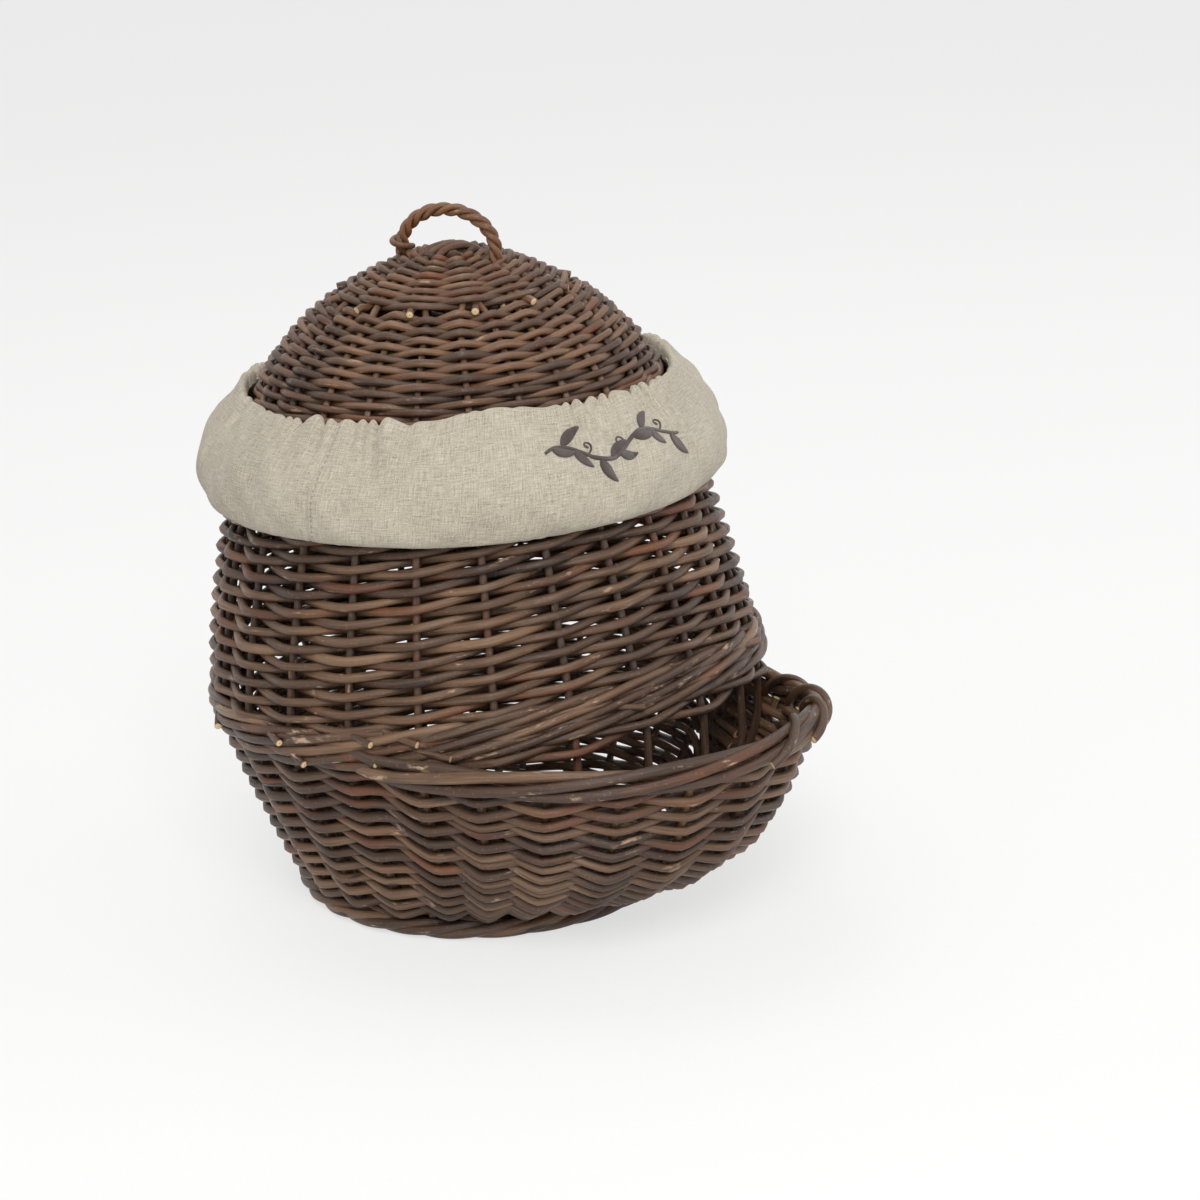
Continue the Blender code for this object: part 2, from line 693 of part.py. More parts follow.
def handle(carrier):
    """Three rods laid round each other over an arch, each ending on the crown."""
    across = polar(HANDLE_DIRECTION, 1.0, 0.0)
    side = Vector((0.0, 0.0, 1.0)).cross(across)
    half = HANDLE_SPAN / 2
    foot = lid_height(half) + HANDLE_ROD_DIAMETER / 2 + GAP
    for rod in range(HANDLE_ROD_COUNT):
        path = []
        count = 26
        for i in range(count):
            share = i / (count - 1)
            sweep = math.pi * (1 - share)
            away = across * math.cos(sweep) + Vector((0.0, 0.0, 1.0)) * math.sin(sweep)
            arch = foot + HANDLE_RISE * math.sin(sweep)
            centre = across * (half * math.cos(sweep)) + Vector((0.0, 0.0, arch))
            turn = 2 * math.pi * (HANDLE_TWISTS * share + rod / HANDLE_ROD_COUNT)
            offset = away * math.cos(turn) + side * math.sin(turn)
            path.append(centre + offset * HANDLE_TWIST_RADIUS)
        rods(f"handle_rod_{rod + 1}", [path], HANDLE_ROD_DIAMETER, WILLOW_HANDLE, carrier)


def centre_on_origin(carrier):
    """Move everything along Y, so that the origin is under the middle of the basket's box."""
    bpy.context.view_layer.update()
    graph = bpy.context.evaluated_depsgraph_get()
    reach = []
    for item in bpy.data.objects:
        if item.type == "MESH" and not item.hide_render:
            solid = item.evaluated_get(graph)
            shape = solid.to_mesh()
            reach += [(item.matrix_world @ vertex.co).y for vertex in shape.vertices]
            solid.to_mesh_clear()
    carrier.location.y = -(min(reach) + max(reach)) / 2


def build():
    clear_scene()
    basket = add_carrier("basket_carrier")
    foot_border(basket)
    base(basket)
    body_walls(basket)
    front_apron(basket)
    stakes(basket)
    borders(basket)
    collar(basket)
    lid = add_carrier("lid_carrier")
    lid.parent = basket
    lid_shell(lid)
    lid_rods(lid)
    handle(lid)
    centre_on_origin(basket)


build()
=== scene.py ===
import math
from functools import partial
from math import pi, radians, tau

import bpy
import numpy as np
from mathutils import Matrix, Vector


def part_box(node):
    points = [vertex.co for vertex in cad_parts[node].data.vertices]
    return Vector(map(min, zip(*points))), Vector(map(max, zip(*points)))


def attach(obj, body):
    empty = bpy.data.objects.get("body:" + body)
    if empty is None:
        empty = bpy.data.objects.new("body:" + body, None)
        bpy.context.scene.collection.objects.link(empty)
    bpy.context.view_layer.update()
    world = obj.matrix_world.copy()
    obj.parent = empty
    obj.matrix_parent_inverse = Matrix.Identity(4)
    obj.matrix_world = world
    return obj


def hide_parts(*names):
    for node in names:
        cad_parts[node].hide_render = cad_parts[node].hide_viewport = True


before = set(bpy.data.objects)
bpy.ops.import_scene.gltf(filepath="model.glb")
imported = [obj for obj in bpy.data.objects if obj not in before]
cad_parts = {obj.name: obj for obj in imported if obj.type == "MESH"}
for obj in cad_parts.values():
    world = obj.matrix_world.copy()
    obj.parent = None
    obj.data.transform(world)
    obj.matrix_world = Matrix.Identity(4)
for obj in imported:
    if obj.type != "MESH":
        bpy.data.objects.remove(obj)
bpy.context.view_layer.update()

foot_low, foot_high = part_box("base_weave")
axis_y = (foot_low.y + foot_high.y) / 2


# Base sticks: six stout willow sticks, three laid across three and opened out like a star. They are the
# thick ends of the rods, steamed and boiled brown with the rest, and the woven bottom is built on them.

upright, seeded = np.array([0.0, 0.0, 1.0]), np.random.default_rng


def place(turn, radius, height):
    """A point by its turn from the front towards +X, its distance from the upright axis, which the turn's
    sine and cosine share out, and its height."""
    turn, radius, height = np.broadcast_arrays(turn, radius, height)
    return np.stack([radius * np.sin(turn), axis_y - radius * np.cos(turn), height], -1).astype(float)


def outward_at(turn):
    """The level direction away from the axis at a turn."""
    return place(turn, 1.0, 0.0) - place(0, 0, 0.0)


def ramp(value, low, high):
    """The share of the way from low to high, kept between 0 and 1."""
    return np.clip((np.asarray(value, float) - low) / (high - low), 0.0, 1.0)


def ease(value, low, high):
    """The same share with soft ends: three times its square less twice its cube."""
    share = ramp(value, low, high)
    return share * share * (3 - 2 * share)


def unit(vectors):
    """Each vector divided by its length."""
    return vectors / np.maximum(np.linalg.norm(vectors, axis=-1, keepdims=True), 1e-12)


def way_along(path):
    """The way along a path to each of its points: the sum of the lengths of the steps before it."""
    return np.concatenate([[0.0], np.cumsum(np.linalg.norm(np.diff(path, axis=0), axis=1))])


def linear(colour):
    """An sRGB hex colour as linear red, green, blue and 1: the sRGB curve undone for each channel."""
    shares = [int(colour[i:i + 2], 16) / 255 for i in (0, 2, 4)]
    return tuple(c / 12.92 if c <= 0.04045 else ((c + 0.055) / 1.055) ** 2.4 for c in shares) + (1.0,)


def add_node(tree, kind, feeds=(), operation=None, stops=None, **settings):
    """Add one node. Feeds are its inputs, in their order or by name or number, each a value, an output to
    link or a node whose first output is linked. Stops are its ramp as (position, hex colour)."""
    made = tree.nodes.new("ShaderNode" + kind)
    if operation:
        made.operation = operation
    for name, value in settings.items():
        setattr(made, name, value)
    for name, value in feeds.items() if isinstance(feeds, dict) else enumerate(feeds):
        value = value.outputs[0] if isinstance(value, bpy.types.Node) else value
        if isinstance(value, bpy.types.NodeSocket):
            tree.links.new(value, made.inputs[name])
        else:
            made.inputs[name].default_value = value
    if stops:
        while len(made.color_ramp.elements) < len(stops):
            made.color_ramp.elements.new(0.5)
        for element, (position, colour) in zip(made.color_ramp.elements, stops):
            element.position = position
            element.color = linear(colour)
    return made


def node_adder(owner):
    """Empty the node tree of a material or a world, and give the function that adds nodes to it."""
    owner.use_nodes = True
    owner.node_tree.nodes.clear()
    return partial(add_node, owner.node_tree)


def steamed_willow(name, dark, brown, tan, rust, worn, wear=0.5):
    """Willow boiled or steamed in its bark: a thin, smooth, faintly waxy brown skin. The eye gets a streaky
    brown that changes from rod to rod, rust and tan patches where the skin has rubbed off, fine grain along
    the rod, small pale pores, dark scars at the buds, and pale yellow wood where a rod is cut."""
    made = bpy.data.materials.new(name)
    add = node_adder(made)
    split = add("SeparateXYZ", [add("UVMap", uv_map="along_rod")])
    tint = add("SeparateColor", [add("VertexColor", layer_name="tint")])
    tone, cut = tint.outputs[:2]
    own = add("Math", [tone, 43.0], "MULTIPLY")

    def on_skin(per_metre, per_turn):
        """A place on the rod's own skin, counted in features to a metre of rod and to a turn round it."""
        u = add("Math", [split.outputs[0], per_metre], "MULTIPLY")
        v = add("Math", [split.outputs[1], per_turn], "MULTIPLY")
        return add("CombineXYZ", [u, v, own])

    def grain(per_metre, per_turn, detail, rough=0.55):
        """Noise on the rod's skin."""
        spot = on_skin(per_metre, per_turn)
        return add("TexNoise", {"Vector": spot, "Scale": 1.0, "Detail": detail, "Roughness": rough})

    streak, fine = grain(26.0, 10.0, 6.0, 0.68), grain(70.0, 34.0, 3.0)
    shade = add("Math", [tone, 0.46], "MULTIPLY")
    shade = add("Math", [streak, 0.95, shade], "MULTIPLY_ADD")
    skin = add("ValToRGB", [shade], stops=[(0.34, dark), (0.66, brown), (0.98, tan)])
    cloud = add("TexNoise", {"Vector": add("TexCoord").outputs["Object"], "Scale": 14.0, "Detail": 3.0})
    pores = add("TexVoronoi", {"Vector": on_skin(420.0, 4.0), "Scale": 1.0})
    rings = [(0.78, "6b4a33"), (0.82, "cfae82"), (0.955, "e6cfa6"), (0.975, "7c5b3f")]
    for pattern, none, full, most, colour in (
            (grain(9.0, 0.9, 2.0), 0.52, 0.70, 0.75, linear(rust)),
            (cloud, 0.52, 0.36, 0.45, linear(dark)),
            (grain(46.0, 2.4, 5.0, 0.66), 0.67 - 0.10 * wear, 0.77 - 0.10 * wear, 1.0, linear(worn)),
            (grain(21.0, 2.2, 2.0), 0.33, 0.28, 1.0, linear(dark)),
            (pores, 0.20, 0.12, 0.5, linear(tan)),
            (cut, 0.4, 0.6, 1.0, add("ValToRGB", [cut], stops=rings))):
        share = add("MapRange", [pattern, none, full, 0.0, most], interpolation_type="SMOOTHSTEP")
        skin = add("Mix", {0: share, 6: skin, 7: colour}, data_type="RGBA").outputs[2]
    lumps = add("Math", [streak, 0.8, fine], "MULTIPLY_ADD")
    bump = add("Bump", {"Strength": 0.6, "Distance": 0.0008, "Height": lumps})
    rough = add("MapRange", [fine, 0.3, 0.7, 0.28, 0.56])
    shader = add("BsdfPrincipled", {"Base Color": skin, "Roughness": rough, "Normal": bump, "IOR": 1.46})
    add("OutputMaterial", [shader])
    return made


def rod(path, radius, outward, tone, sides=8, closed=False):
    """One willow rod: a circle of corners carried along a path, each a radius from it and turned about it
    from the outward direction, squared to the path. Each face's corners get marks: the way along in metres,
    the share of a turn, the rod's tone, and the cut, 0 on the skin and 0.8 to 1 from a cut end's edge to
    its pith."""
    path = np.asarray(path, float)
    count, around = len(path), np.arange(sides)
    radius = np.broadcast_to(np.asarray(radius, float), (count,))
    ahead = unit(np.roll(path, -1, 0) - np.roll(path, 1, 0) if closed else np.gradient(path, axis=0))
    out = unit(outward - ahead * np.sum(outward * ahead, -1, keepdims=True))
    side = np.cross(ahead, out)
    turn = (pi + tau * around / sides)[None, :, None]
    spokes = np.cos(turn) * out[:, None] + np.sin(turn) * side[:, None]
    ring = path[:, None] + radius[:, None, None] * spokes
    way = way_along(np.vstack([path, path[:1]]))
    row, col = np.meshgrid(np.arange(count if closed else count - 1), around, indexing="ij")
    before, after, beside = row * sides, (row + 1) % count * sides, (col + 1) % sides
    quads = np.stack([before + col, before + beside, after + beside, after + col], -1)
    u, v = way[np.stack([row, row, row + 1, row + 1], -1)], np.stack([col, col + 1, col + 1, col], -1) / sides
    marks = np.stack([u, v, np.full_like(u, tone), np.zeros_like(u)], -1)
    bulge = 0.2 * radius[:, None] * ahead
    piths = np.stack([path[0] - bulge[0], path[-1] + bulge[-1]])
    pith, last, following = count * sides, (count - 1) * sides, np.roll(around, -1)
    fans = np.stack([np.repeat([pith, pith + 1], sides), np.concatenate([following, last + around]),
                     np.concatenate([around, last + following])], -1)
    fan_marks = np.array([(end, 0.5, tone, cut)
                          for end in (0.0, way[-1]) for _ in around for cut in (1.0, 0.8, 0.8)])
    ends = 0 if closed else None
    return (np.vstack([ring.reshape(-1, 3), piths[:ends]]), quads.reshape(-1, 4), marks.reshape(-1, 4),
            fans[:ends], fan_marks[:ends])


def linked(name, data):
    """A new object of the scene, at the origin, for a mesh, a lamp or a camera."""
    made = bpy.data.objects.new(name, data)
    bpy.context.scene.collection.objects.link(made)
    return made


def as_piece(name, rods, finish, slot, body, *nodes):
    """Join rods into one mesh at the origin, with its finish and body, to stand for CAD nodes. The slot is not
    used.
    """
    points, quads, marks, fans, fan_marks = zip(*rods)
    first = np.cumsum([0] + [len(own) for own in points])
    quads, fans = (np.concatenate([own + i for own, i in zip(faces, first)]) for faces in (quads, fans))
    points, marks = np.concatenate(points), np.concatenate(marks + fan_marks)
    mesh = bpy.data.meshes.new(name)
    mesh.vertices.add(len(points))
    mesh.vertices.foreach_set("co", points.astype(np.float32).ravel())
    mesh.loops.add(len(marks))
    mesh.loops.foreach_set("vertex_index", np.concatenate([quads.ravel(), fans.ravel()]).astype(np.int32))
    starts = np.concatenate([4 * np.arange(len(quads)), 4 * len(quads) + 3 * np.arange(len(fans))])
    mesh.polygons.add(len(starts))
    mesh.polygons.foreach_set("loop_start", starts.astype(np.int32))
    mesh.update(calc_edges=True)
    mesh.uv_layers.new(name="along_rod").data.foreach_set("uv", marks[:, :2].astype(np.float32).ravel())
    colours = np.hstack([marks[:, 2:], np.ones((len(marks), 2))]).astype(np.float32)
    mesh.color_attributes.new("tint", "FLOAT_COLOR", "CORNER").data.foreach_set("color", colours.ravel())
    mesh.shade_smooth()
    mesh.set_sharp_from_angle(angle=radians(50))
    mesh.materials.append(finish)
    piece = linked(name, mesh)
    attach(piece, body)
    if nodes:
        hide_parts(*nodes)


def star_sticks(reach, spacing, level, radius, rng):
    """Six sticks, three by three. Each runs straight across the middle and opens out by the square of its
    way from there, until the twelve ends stand 30 degrees apart. level gives a stick's height at a
    distance from the axis, for the upper and the lower three."""
    rods, share = [], np.linspace(-1, 1, 41)
    for crossed in (False, True):
        for i in (-1, 0, 1):
            along = reach * math.cos(radians(30 * i)) * share
            aside = i * spacing + (reach * math.sin(radians(30 * i)) - i * spacing) * share ** 2
            x, y = (aside, along) if crossed else (along, aside)
            path = np.stack([x, axis_y + y, level(np.hypot(x, y), crossed)], -1)
            rods.append(rod(path, radius * rng.uniform(0.94, 1.06), upright, rng.random()))
    return rods


of_wall = (steamed_willow("steamed_willow_wall", "2f211b", "59412f", "86684f", "6e4028", "b0937a"),
           "willow_body", "basket")
base_middle, base_rod, base_stick, star_spacing = 0.0112, 0.0017, 0.00225, 0.0056
rng = seeded(11)


def base_level(away, crossed):
    """Middle height of a base stick: two layers at the middle, and one where they have opened out."""
    return base_middle + (-0.0022 if crossed else 0.0022) * (1 - ease(away, 0.018, 0.045))


as_piece("base_sticks", star_sticks(0.107, star_spacing, base_level, base_stick, rng),
         *of_wall, "base_slath")


# Base weave: thin rods worked in pairs round the sticks, one over and one under, twisting past each other
# between two sticks, from the crossing out to the foot. It is the floor of the basket.

def twisted(centre, outward, upward, turns, strands, out, up, radius, rng, sides=8, closed=True, behind=0.0):
    """Rods laid round each other. Each strand stands off the middle line by `out` times the cosine and `up`
    times the sine of its turn, and starts an equal share of a turn after the last. `behind` sets it further
    in, by the cube of how far its cosine is below zero, where it passes behind a stake."""
    rods, wave = [], tau * np.arange(len(centre)) / len(centre)
    for k in range(strands):
        angle = tau * (turns + k / strands)
        off = out * np.cos(angle) - behind * np.maximum(-np.cos(angle), 0.0) ** 3
        path = centre + outward * off[:, None] + upward * (up * np.sin(angle))[:, None]
        slow, quick = np.sin(3 * wave + rng.uniform(0, 6)), np.sin(11 * wave + rng.uniform(0, 6))
        uneven = 1 + 0.07 * slow + 0.04 * quick
        rods.append(rod(path, radius * uneven, outward, rng.random(), sides, closed))
    return rods


rods = []
round_it = np.linspace(0, tau, 12 * 7, endpoint=False)
first_round, last_round, round_step = 0.0141, 0.1115, 0.0037
for reach in np.arange(first_round, last_round, round_step):
    rods += twisted(place(round_it, reach, base_middle), upright, outward_at(round_it), 6 * round_it / tau,
                    2, out=base_stick + base_rod, up=0.0010, radius=base_rod, rng=rng, sides=7)
as_piece("base_weave_rods", rods, *of_wall, "base_weave")


# Foot border: the thick ends of the stakes turned down and wrapped round the bottom edge in a rope of four.
# The basket stands on it, so it is the most rubbed of all, with long pale scars.

foot_radius, foot_height, foot_width = 0.1186, 0.0120, 0.0156
of_border = (steamed_willow("steamed_willow_border", "2f211a", "594130", "82654c", "6c4029", "b89c82", 0.75),
             "willow_border", "basket")
rng = seeded(12)


def rope_ring(reach, level, count, twists, strands, **sizes):
    """A rope in a level ring round the axis, of so many points and twists, and the rest as for twisted."""
    turn = np.linspace(0, tau, count, endpoint=False)
    return twisted(place(turn, reach, level), outward_at(turn), upright, twists * turn / tau,
                   strands, **sizes)


as_piece("foot_border_rods", rope_ring(foot_radius - foot_width / 2, foot_height / 2, 288, 6, 4,
                                       out=0.0046, up=0.0027, radius=0.0031, rng=rng, sides=10),
         *of_border, "foot_border")


# Stakes: the upright rods that everything is woven on. Those of the side, the back and the pouch stand
# inside their walls, and the eight front ones rise bare through the opening and on up the front wall.

waist, neck, rim, rim_line = 0.1303, 0.250, 0.297, 0.1167
waist_radius, neck_radius, rim_radius = 0.159, 0.143, 0.119
front_lean, pouch_reach, pouch_half = 0.020, 0.080, radians(72)
stake_depth, stake_radius = 0.0075, 0.0023


def wall_radius(height):
    """Outer radius of the plain wall: from the foot to the waist it grows by the 0.85 power of the rise, from
    the waist to the neck it shrinks by its 1.8 power, and from the neck to the rim by its 1.6 power."""
    low = foot_radius + (waist_radius - foot_radius) * ramp(height, foot_height, waist) ** 0.85
    middle = waist_radius - (waist_radius - neck_radius) * ramp(height, waist, neck) ** 1.8
    top = neck_radius - (neck_radius - rim_radius) * ramp(height, neck, rim) ** 1.6
    return np.where(height <= waist, low, np.where(height <= neck, middle, top))


def from_front(turn):
    """A turn brought between half a turn to the left and half a turn to the right of the front."""
    return (np.asarray(turn, float) + pi) % tau - pi


def facing(turn):
    """How much a turn faces the front: half its cosine and a half, from 1 in front to 0 at the back."""
    return 0.5 + 0.5 * np.cos(turn)


def lobe(turn):
    """How far the pouch stands out: the 2.1 power of the cosine, from 1 in front to 0 at its two ends."""
    return np.cos(np.minimum(np.abs(from_front(turn)) / pouch_half, 1.0) * pi / 2) ** 2.1


def upper_wall(turn, height):
    """The wall above the waist: it leans out in front, less and less by the 1.2 power up to the neck."""
    lean = front_lean * (1 - ramp(height, waist, neck)) ** 1.2
    return place(turn, wall_radius(height) + lean * facing(turn), height)


def lower_wall(turn, height):
    """The wall below the waist with the pouch, whose reach grows quickly at first and then levels off: one
    less the exponential of the rise over 26 mm."""
    grown = (1 - np.exp((foot_height - height) / 0.026)) / (1 - math.exp((foot_height - waist) / 0.026))
    lean = front_lean * ramp(height, foot_height, waist)
    proud = lean * facing(turn) + (pouch_reach * grown - lean) * lobe(turn)
    return place(turn, wall_radius(height) + proud, height)


def square_to(wall, turn, height):
    """The outward and the upward direction on a wall: a step up it, and the cross product of a step round
    it with that."""
    turn, height = np.broadcast_arrays(np.asarray(turn, float), np.asarray(height, float))
    upward = unit(wall(turn, height + 0.0015) - wall(turn, height - 0.0015))
    outward = unit(np.cross(wall(turn + 0.012, height) - wall(turn - 0.012, height), upward))
    return outward, upward


def under(wall, turn, height, depth):
    """Points at a depth under a wall, square to it, and the outward directions there."""
    outward, _ = square_to(wall, turn, height)
    return wall(turn, height) - outward * np.reshape(depth, (-1, 1)), outward


def from_axis(points):
    """How far points stand from the upright axis."""
    return np.hypot(points[..., 0], points[..., 1] - axis_y)


def above_waist(turn):
    """A stake from the waist up, inside the wall, with its end bent in under the rim."""
    inside = under(upper_wall, turn, np.linspace(waist + 0.002, 0.2915, 26), stake_depth)[0]
    return np.vstack([inside, place(turn, rim_line, rim - 0.0015)])


def front_stake(turn):
    """Bare up to the apron: its way from the axis grows as the sine of its rise, kept inside the pouch."""
    low, high, foot_reach = 0.0155, 0.1085, 0.1080
    height = np.linspace(low, high, 18)
    end = from_axis(upper_wall(turn, waist)) - stake_depth
    within = from_axis(lower_wall(turn, height)) - stake_depth - 0.0072
    reach = np.minimum(foot_reach + (end - foot_reach) * np.sin(ramp(height, low, high) * pi / 2), within)
    return np.vstack([place(turn, reach, height), place(turn, end, 0.1190), above_waist(turn)])


def stake_turn(at):
    """The turn of the stake with a number: 15 degrees apart, the front of the basket between 0 and -1."""
    return np.radians(7.5 + 15 * np.asarray(at))


rng = seeded(13)
front_turns, back_turns = stake_turn(np.arange(-4, 4)), stake_turn(np.arange(4, 20))
pouch_turns = np.radians(10.5 * np.arange(-5, 6))
stake_low = 0.0135
pouch_tops = 0.1210 - 0.0190 * ease(pouch_turns, radians(10), radians(46))
low_part, pouch_part = np.linspace(stake_low, 0.125, 18), np.linspace(0, 1, 26) ** 1.5
# The front, side and back stakes take only the lowest three tenths of the tones, a darker skin than the rods:
# painted shade for where they stand behind the woven rods and back in the opening.
front_rods = [rod(front_stake(a), stake_radius, outward_at(a), 0.3 * rng.random(), 10) for a in front_turns]
back_rods = [rod(np.vstack([under(lower_wall, a, low_part, stake_depth)[0], above_waist(a)]),
                 stake_radius, outward_at(a), 0.3 * rng.random()) for a in back_turns]
pouch_rods = [rod(under(lower_wall, a, stake_low + (top - stake_low) * pouch_part, stake_depth)[0],
                  stake_radius, outward_at(a), rng.random()) for a, top in zip(pouch_turns, pouch_tops)]
for name, stakes, node in (("front_stakes", front_rods, "front_stake"),
                           ("side_and_back_stakes", back_rods, "back_stake"),
                           ("pouch_stakes", pouch_rods, "pouch_stake")):
    as_piece(name, stakes, *of_wall, *[f"{node}_{i + 1}" for i in range(len(stakes))])


# Lower siding: single rods woven in front of one stake and behind the next, row on row from the foot to the
# waist. The pouch is part of it, and short rows packed in at the front make it belly out.

rod_radius = 0.0027


def over_under(stakes, closeness=0.965):
    """A woven rod's swing, from 1 outside a stake to -1 behind the next one: the arc sine of a closeness
    times the cosine of half a turn for each stake. The nearer it is to 1, the straighter the slopes."""
    return np.arcsin(closeness * np.cos(np.pi * stakes)) / math.asin(closeness)


def woven(wall, turn_at, height_at, first, last, rng, phase=0, radius=rod_radius, depth=stake_depth,
          carried=stake_radius, dip=0.0008, least=5, most=8):
    """Rods woven end to end from the first stake to the last. Each swings about the ring of stakes by the two
    radii together, dips to a point where it is outside, thins from butt to tip, and starts and stops behind
    a stake, a little deeper in."""
    rods, start = [], first
    while start < last:
        stop = start + 2 * int(rng.integers(least, most + 1))
        stop = last if stop > last - 4 else stop
        at = np.arange(start - 0.38, stop + 0.39, 0.125)
        turn, height = turn_at(at), height_at(at)
        a, b, c = rng.uniform(0, 6.28, 3)
        height = height + 0.00028 * np.sin(1.3 * at + a) + 0.00022 * np.sin(2.9 * at + b)
        outward, upward = square_to(wall, turn, height)
        tucked = 0.0016 * (np.exp(-np.abs(at - at[0]) / 0.5) + np.exp(-np.abs(at - at[-1]) / 0.5))
        taper = 1.07 - 0.16 * ramp(at, at[0], at[-1]) + 0.03 * np.sin(4.1 * at + c)
        thick = radius * rng.uniform(0.93, 1.07) * taper
        off = -depth + (carried + thick) * over_under(at + phase) - tucked
        down = (dip(turn, height) if callable(dip) else dip) * over_under(at + phase, 0.99)
        path = wall(turn, height) + outward * off[:, None] - upward * down[:, None]
        rods.append(rod(path, thick, outward, rng.random()))
        start = stop
    return rods


lower_stakes = np.concatenate([np.degrees(pouch_turns), np.degrees(back_turns), [307.5]])
lower_rows, packed_after, wale_level, row_low = 22, np.array([3, 6, 10, 14, 18]), 0.1285, 0.0152


def lower_turn(at):
    """The turn at a count of stakes: even between the eleven of the pouch and the sixteen round the back."""
    return np.radians(np.interp((np.asarray(at) + 5) % 27, np.arange(28), lower_stakes))


def packing(turn):
    """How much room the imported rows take: all of it in front, none past the ends of the pouch."""
    return 1 - ease(np.abs(from_front(turn)), radians(24), radians(47))


def front_rise(turn):
    """How far the waist climbs towards the front, where the wall leans out: the 3.5 power of how it faces."""
    return 0.027 * facing(turn) ** 3.5


def border_level(turn):
    """Middle height of the pouch's border: level in front, drooping to the right, rising at its left end."""
    turn = from_front(turn)
    droop = 0.0200 * ease(turn, radians(10), radians(46))
    return 0.1285 - droop + 0.0060 * ease(-turn, radians(54), radians(72))


def row_height(row, turn):
    """Height of a row: its share of all rows at that turn, to a power that is larger over the pouch, where
    the wall lies flatter at the foot. The top row follows the pouch's border, and the waist past its ends."""
    past = ease(np.abs(from_front(turn)), radians(57), radians(66))
    top = (1 - past) * (border_level(turn) - 0.0094) + past * (wale_level - 0.0120 + front_rise(turn))
    share = (row + 0.3) / (lower_rows + 0.3 + 2 * len(packed_after) * packing(turn))
    return row_low + (top - row_low) * np.clip(share, 0, 1) ** (1 + 0.75 * lobe(turn))


def pouch_dip(turn, height):
    """How far a rod dips over its stake: most at the foot of the pouch, where the rods kink to a V."""
    return 0.0013 + 0.0030 * lobe(turn) * (1 - ease(height, 0.035, 0.105))


def lower_row(at):
    """Height of the long spiral: one row for each 27 stakes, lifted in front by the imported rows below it."""
    row = (at - 13.5) / 27
    below = 2 * np.sum(np.floor(row)[:, None] + 1 > packed_after[None], -1)
    return row_height(row + below * packing(lower_turn(at)), lower_turn(at))


rng = seeded(14)
rods = woven(lower_wall, lower_turn, lower_row, -13, 13 + 27 * lower_rows, rng, radius=0.0028, dip=pouch_dip)
for pair, after in enumerate(packed_after):
    for member in (1, 2):
        def packed_row(at):
            """Height of a packed row: a third or two thirds of the way between the long rows beside it."""
            share = packing(lower_turn(at))
            row = after - 0.5 + at / 27 + 2 * pair * share + member * (1 + 2 * share) / 3
            return row_height(row, lower_turn(at))
        phase = after + member
        edge = 5 - phase % 2
        rods += woven(lower_wall, lower_turn, packed_row, -edge, edge, rng, phase, 0.0024, dip=pouch_dip)
as_piece("lower_siding_rods", rods, *of_wall, "lower_siding")


# Waist wale: a band of stouter rods worked three at a time, each in front of two stakes and behind the
# third. It locks the lower wall, holds the front stakes, and shows long slanting rods and cut ends.

rng = seeded(15)
rods, stubs = [], []
round_it = np.linspace(0, tau, 384, endpoint=False)
for k in range(3):
    level = wale_level + 0.0066 * (k - 1) + front_rise(round_it)
    middle, outwards = under(upper_wall, round_it, level, 0.0046)
    turns = (round_it / radians(15) - 0.5) / 3 + 1 / 3 * k + 0.5
    rods += twisted(middle, outwards, upright, turns, 3, out=0.0027, up=0.0030, radius=0.00262, rng=rng,
                    sides=10, behind=0.0062)
as_piece("waist_wale_rods", rods, *of_border, "waist_wale")

stub_turns = np.radians([-82, -76, -61, -60, -52, -46, -9, 30, 66, 95, 128, 171, 214, 251])
for turn, off in zip(stub_turns, 2 * [0.003, -0.007, 0.005, -0.006, 0.003, -0.007, -0.005]):
    share, reach = np.linspace(0, 1, 9), rng.uniform(0.022, 0.034)
    level = wale_level + off + front_rise(turn) + 0.0062 * (1 - share)
    spots, depth = turn - (1 - share) * reach / 0.17, 0.0085 - 0.0106 * share ** 0.8
    middle, outwards = under(upper_wall, spots, level, depth)
    stubs.append(rod(middle, 0.0021 * rng.uniform(0.9, 1.12), outwards, rng.random(), sides=10))
as_piece("wale_cut_ends", stubs, *of_border)


# Pouch border: the pouch's stakes laid down along its edge in a flat bundle of four thick rods, with their
# ends carried under the wale at both sides, and four stakes bent right over it at the right. It is handled
# most, so its skin is worn to tan in places.

def border_middle(turn):
    """The border's middle line: along the pouch's edge, at its level, pressed to the wall at both ends."""
    level = border_level(turn)
    pressed = 0.0150 * ease(np.abs(turn), radians(60), radians(75))
    return place(turn, from_axis(lower_wall(turn, level - 0.006)) - 0.0023 - pressed, level)


rng = seeded(16)
middle = border_middle(np.radians(np.linspace(-75, 75, 170)))
outwards = unit(np.cross(np.gradient(middle, axis=0), upright))
rods = twisted(middle, outwards, upright, way_along(middle) / 0.30, 4, out=0.0027, up=0.0058,
               radius=0.0032, rng=rng, sides=12, closed=False)
for start in pouch_turns[6:10]:
    share = np.linspace(0, 1, 22)
    bend, spots = np.radians(205 - 258 * share), start + radians(4) - radians(13) * share
    outwards = unit(np.cross(border_middle(spots + 0.01) - border_middle(spots - 0.01), upright))
    across, above = outwards * np.cos(bend)[:, None], upright * np.sin(bend)[:, None]
    path = border_middle(spots) + 0.0071 * across + 0.0088 * above
    rods.append(rod(path, 0.0028, across + above, 0.4 * rng.random(), 10))
as_piece("pouch_border_rods", rods, *of_border, "pouch_border")


# Front apron: two rows woven on the front stakes below the wale. They keep the bare stakes evenly apart
# over the opening into the pouch.

def apron_wall(turn, height):
    """The front wall carried straight down from the waist."""
    return upper_wall(turn, waist) + upright * (height - waist)[:, None]


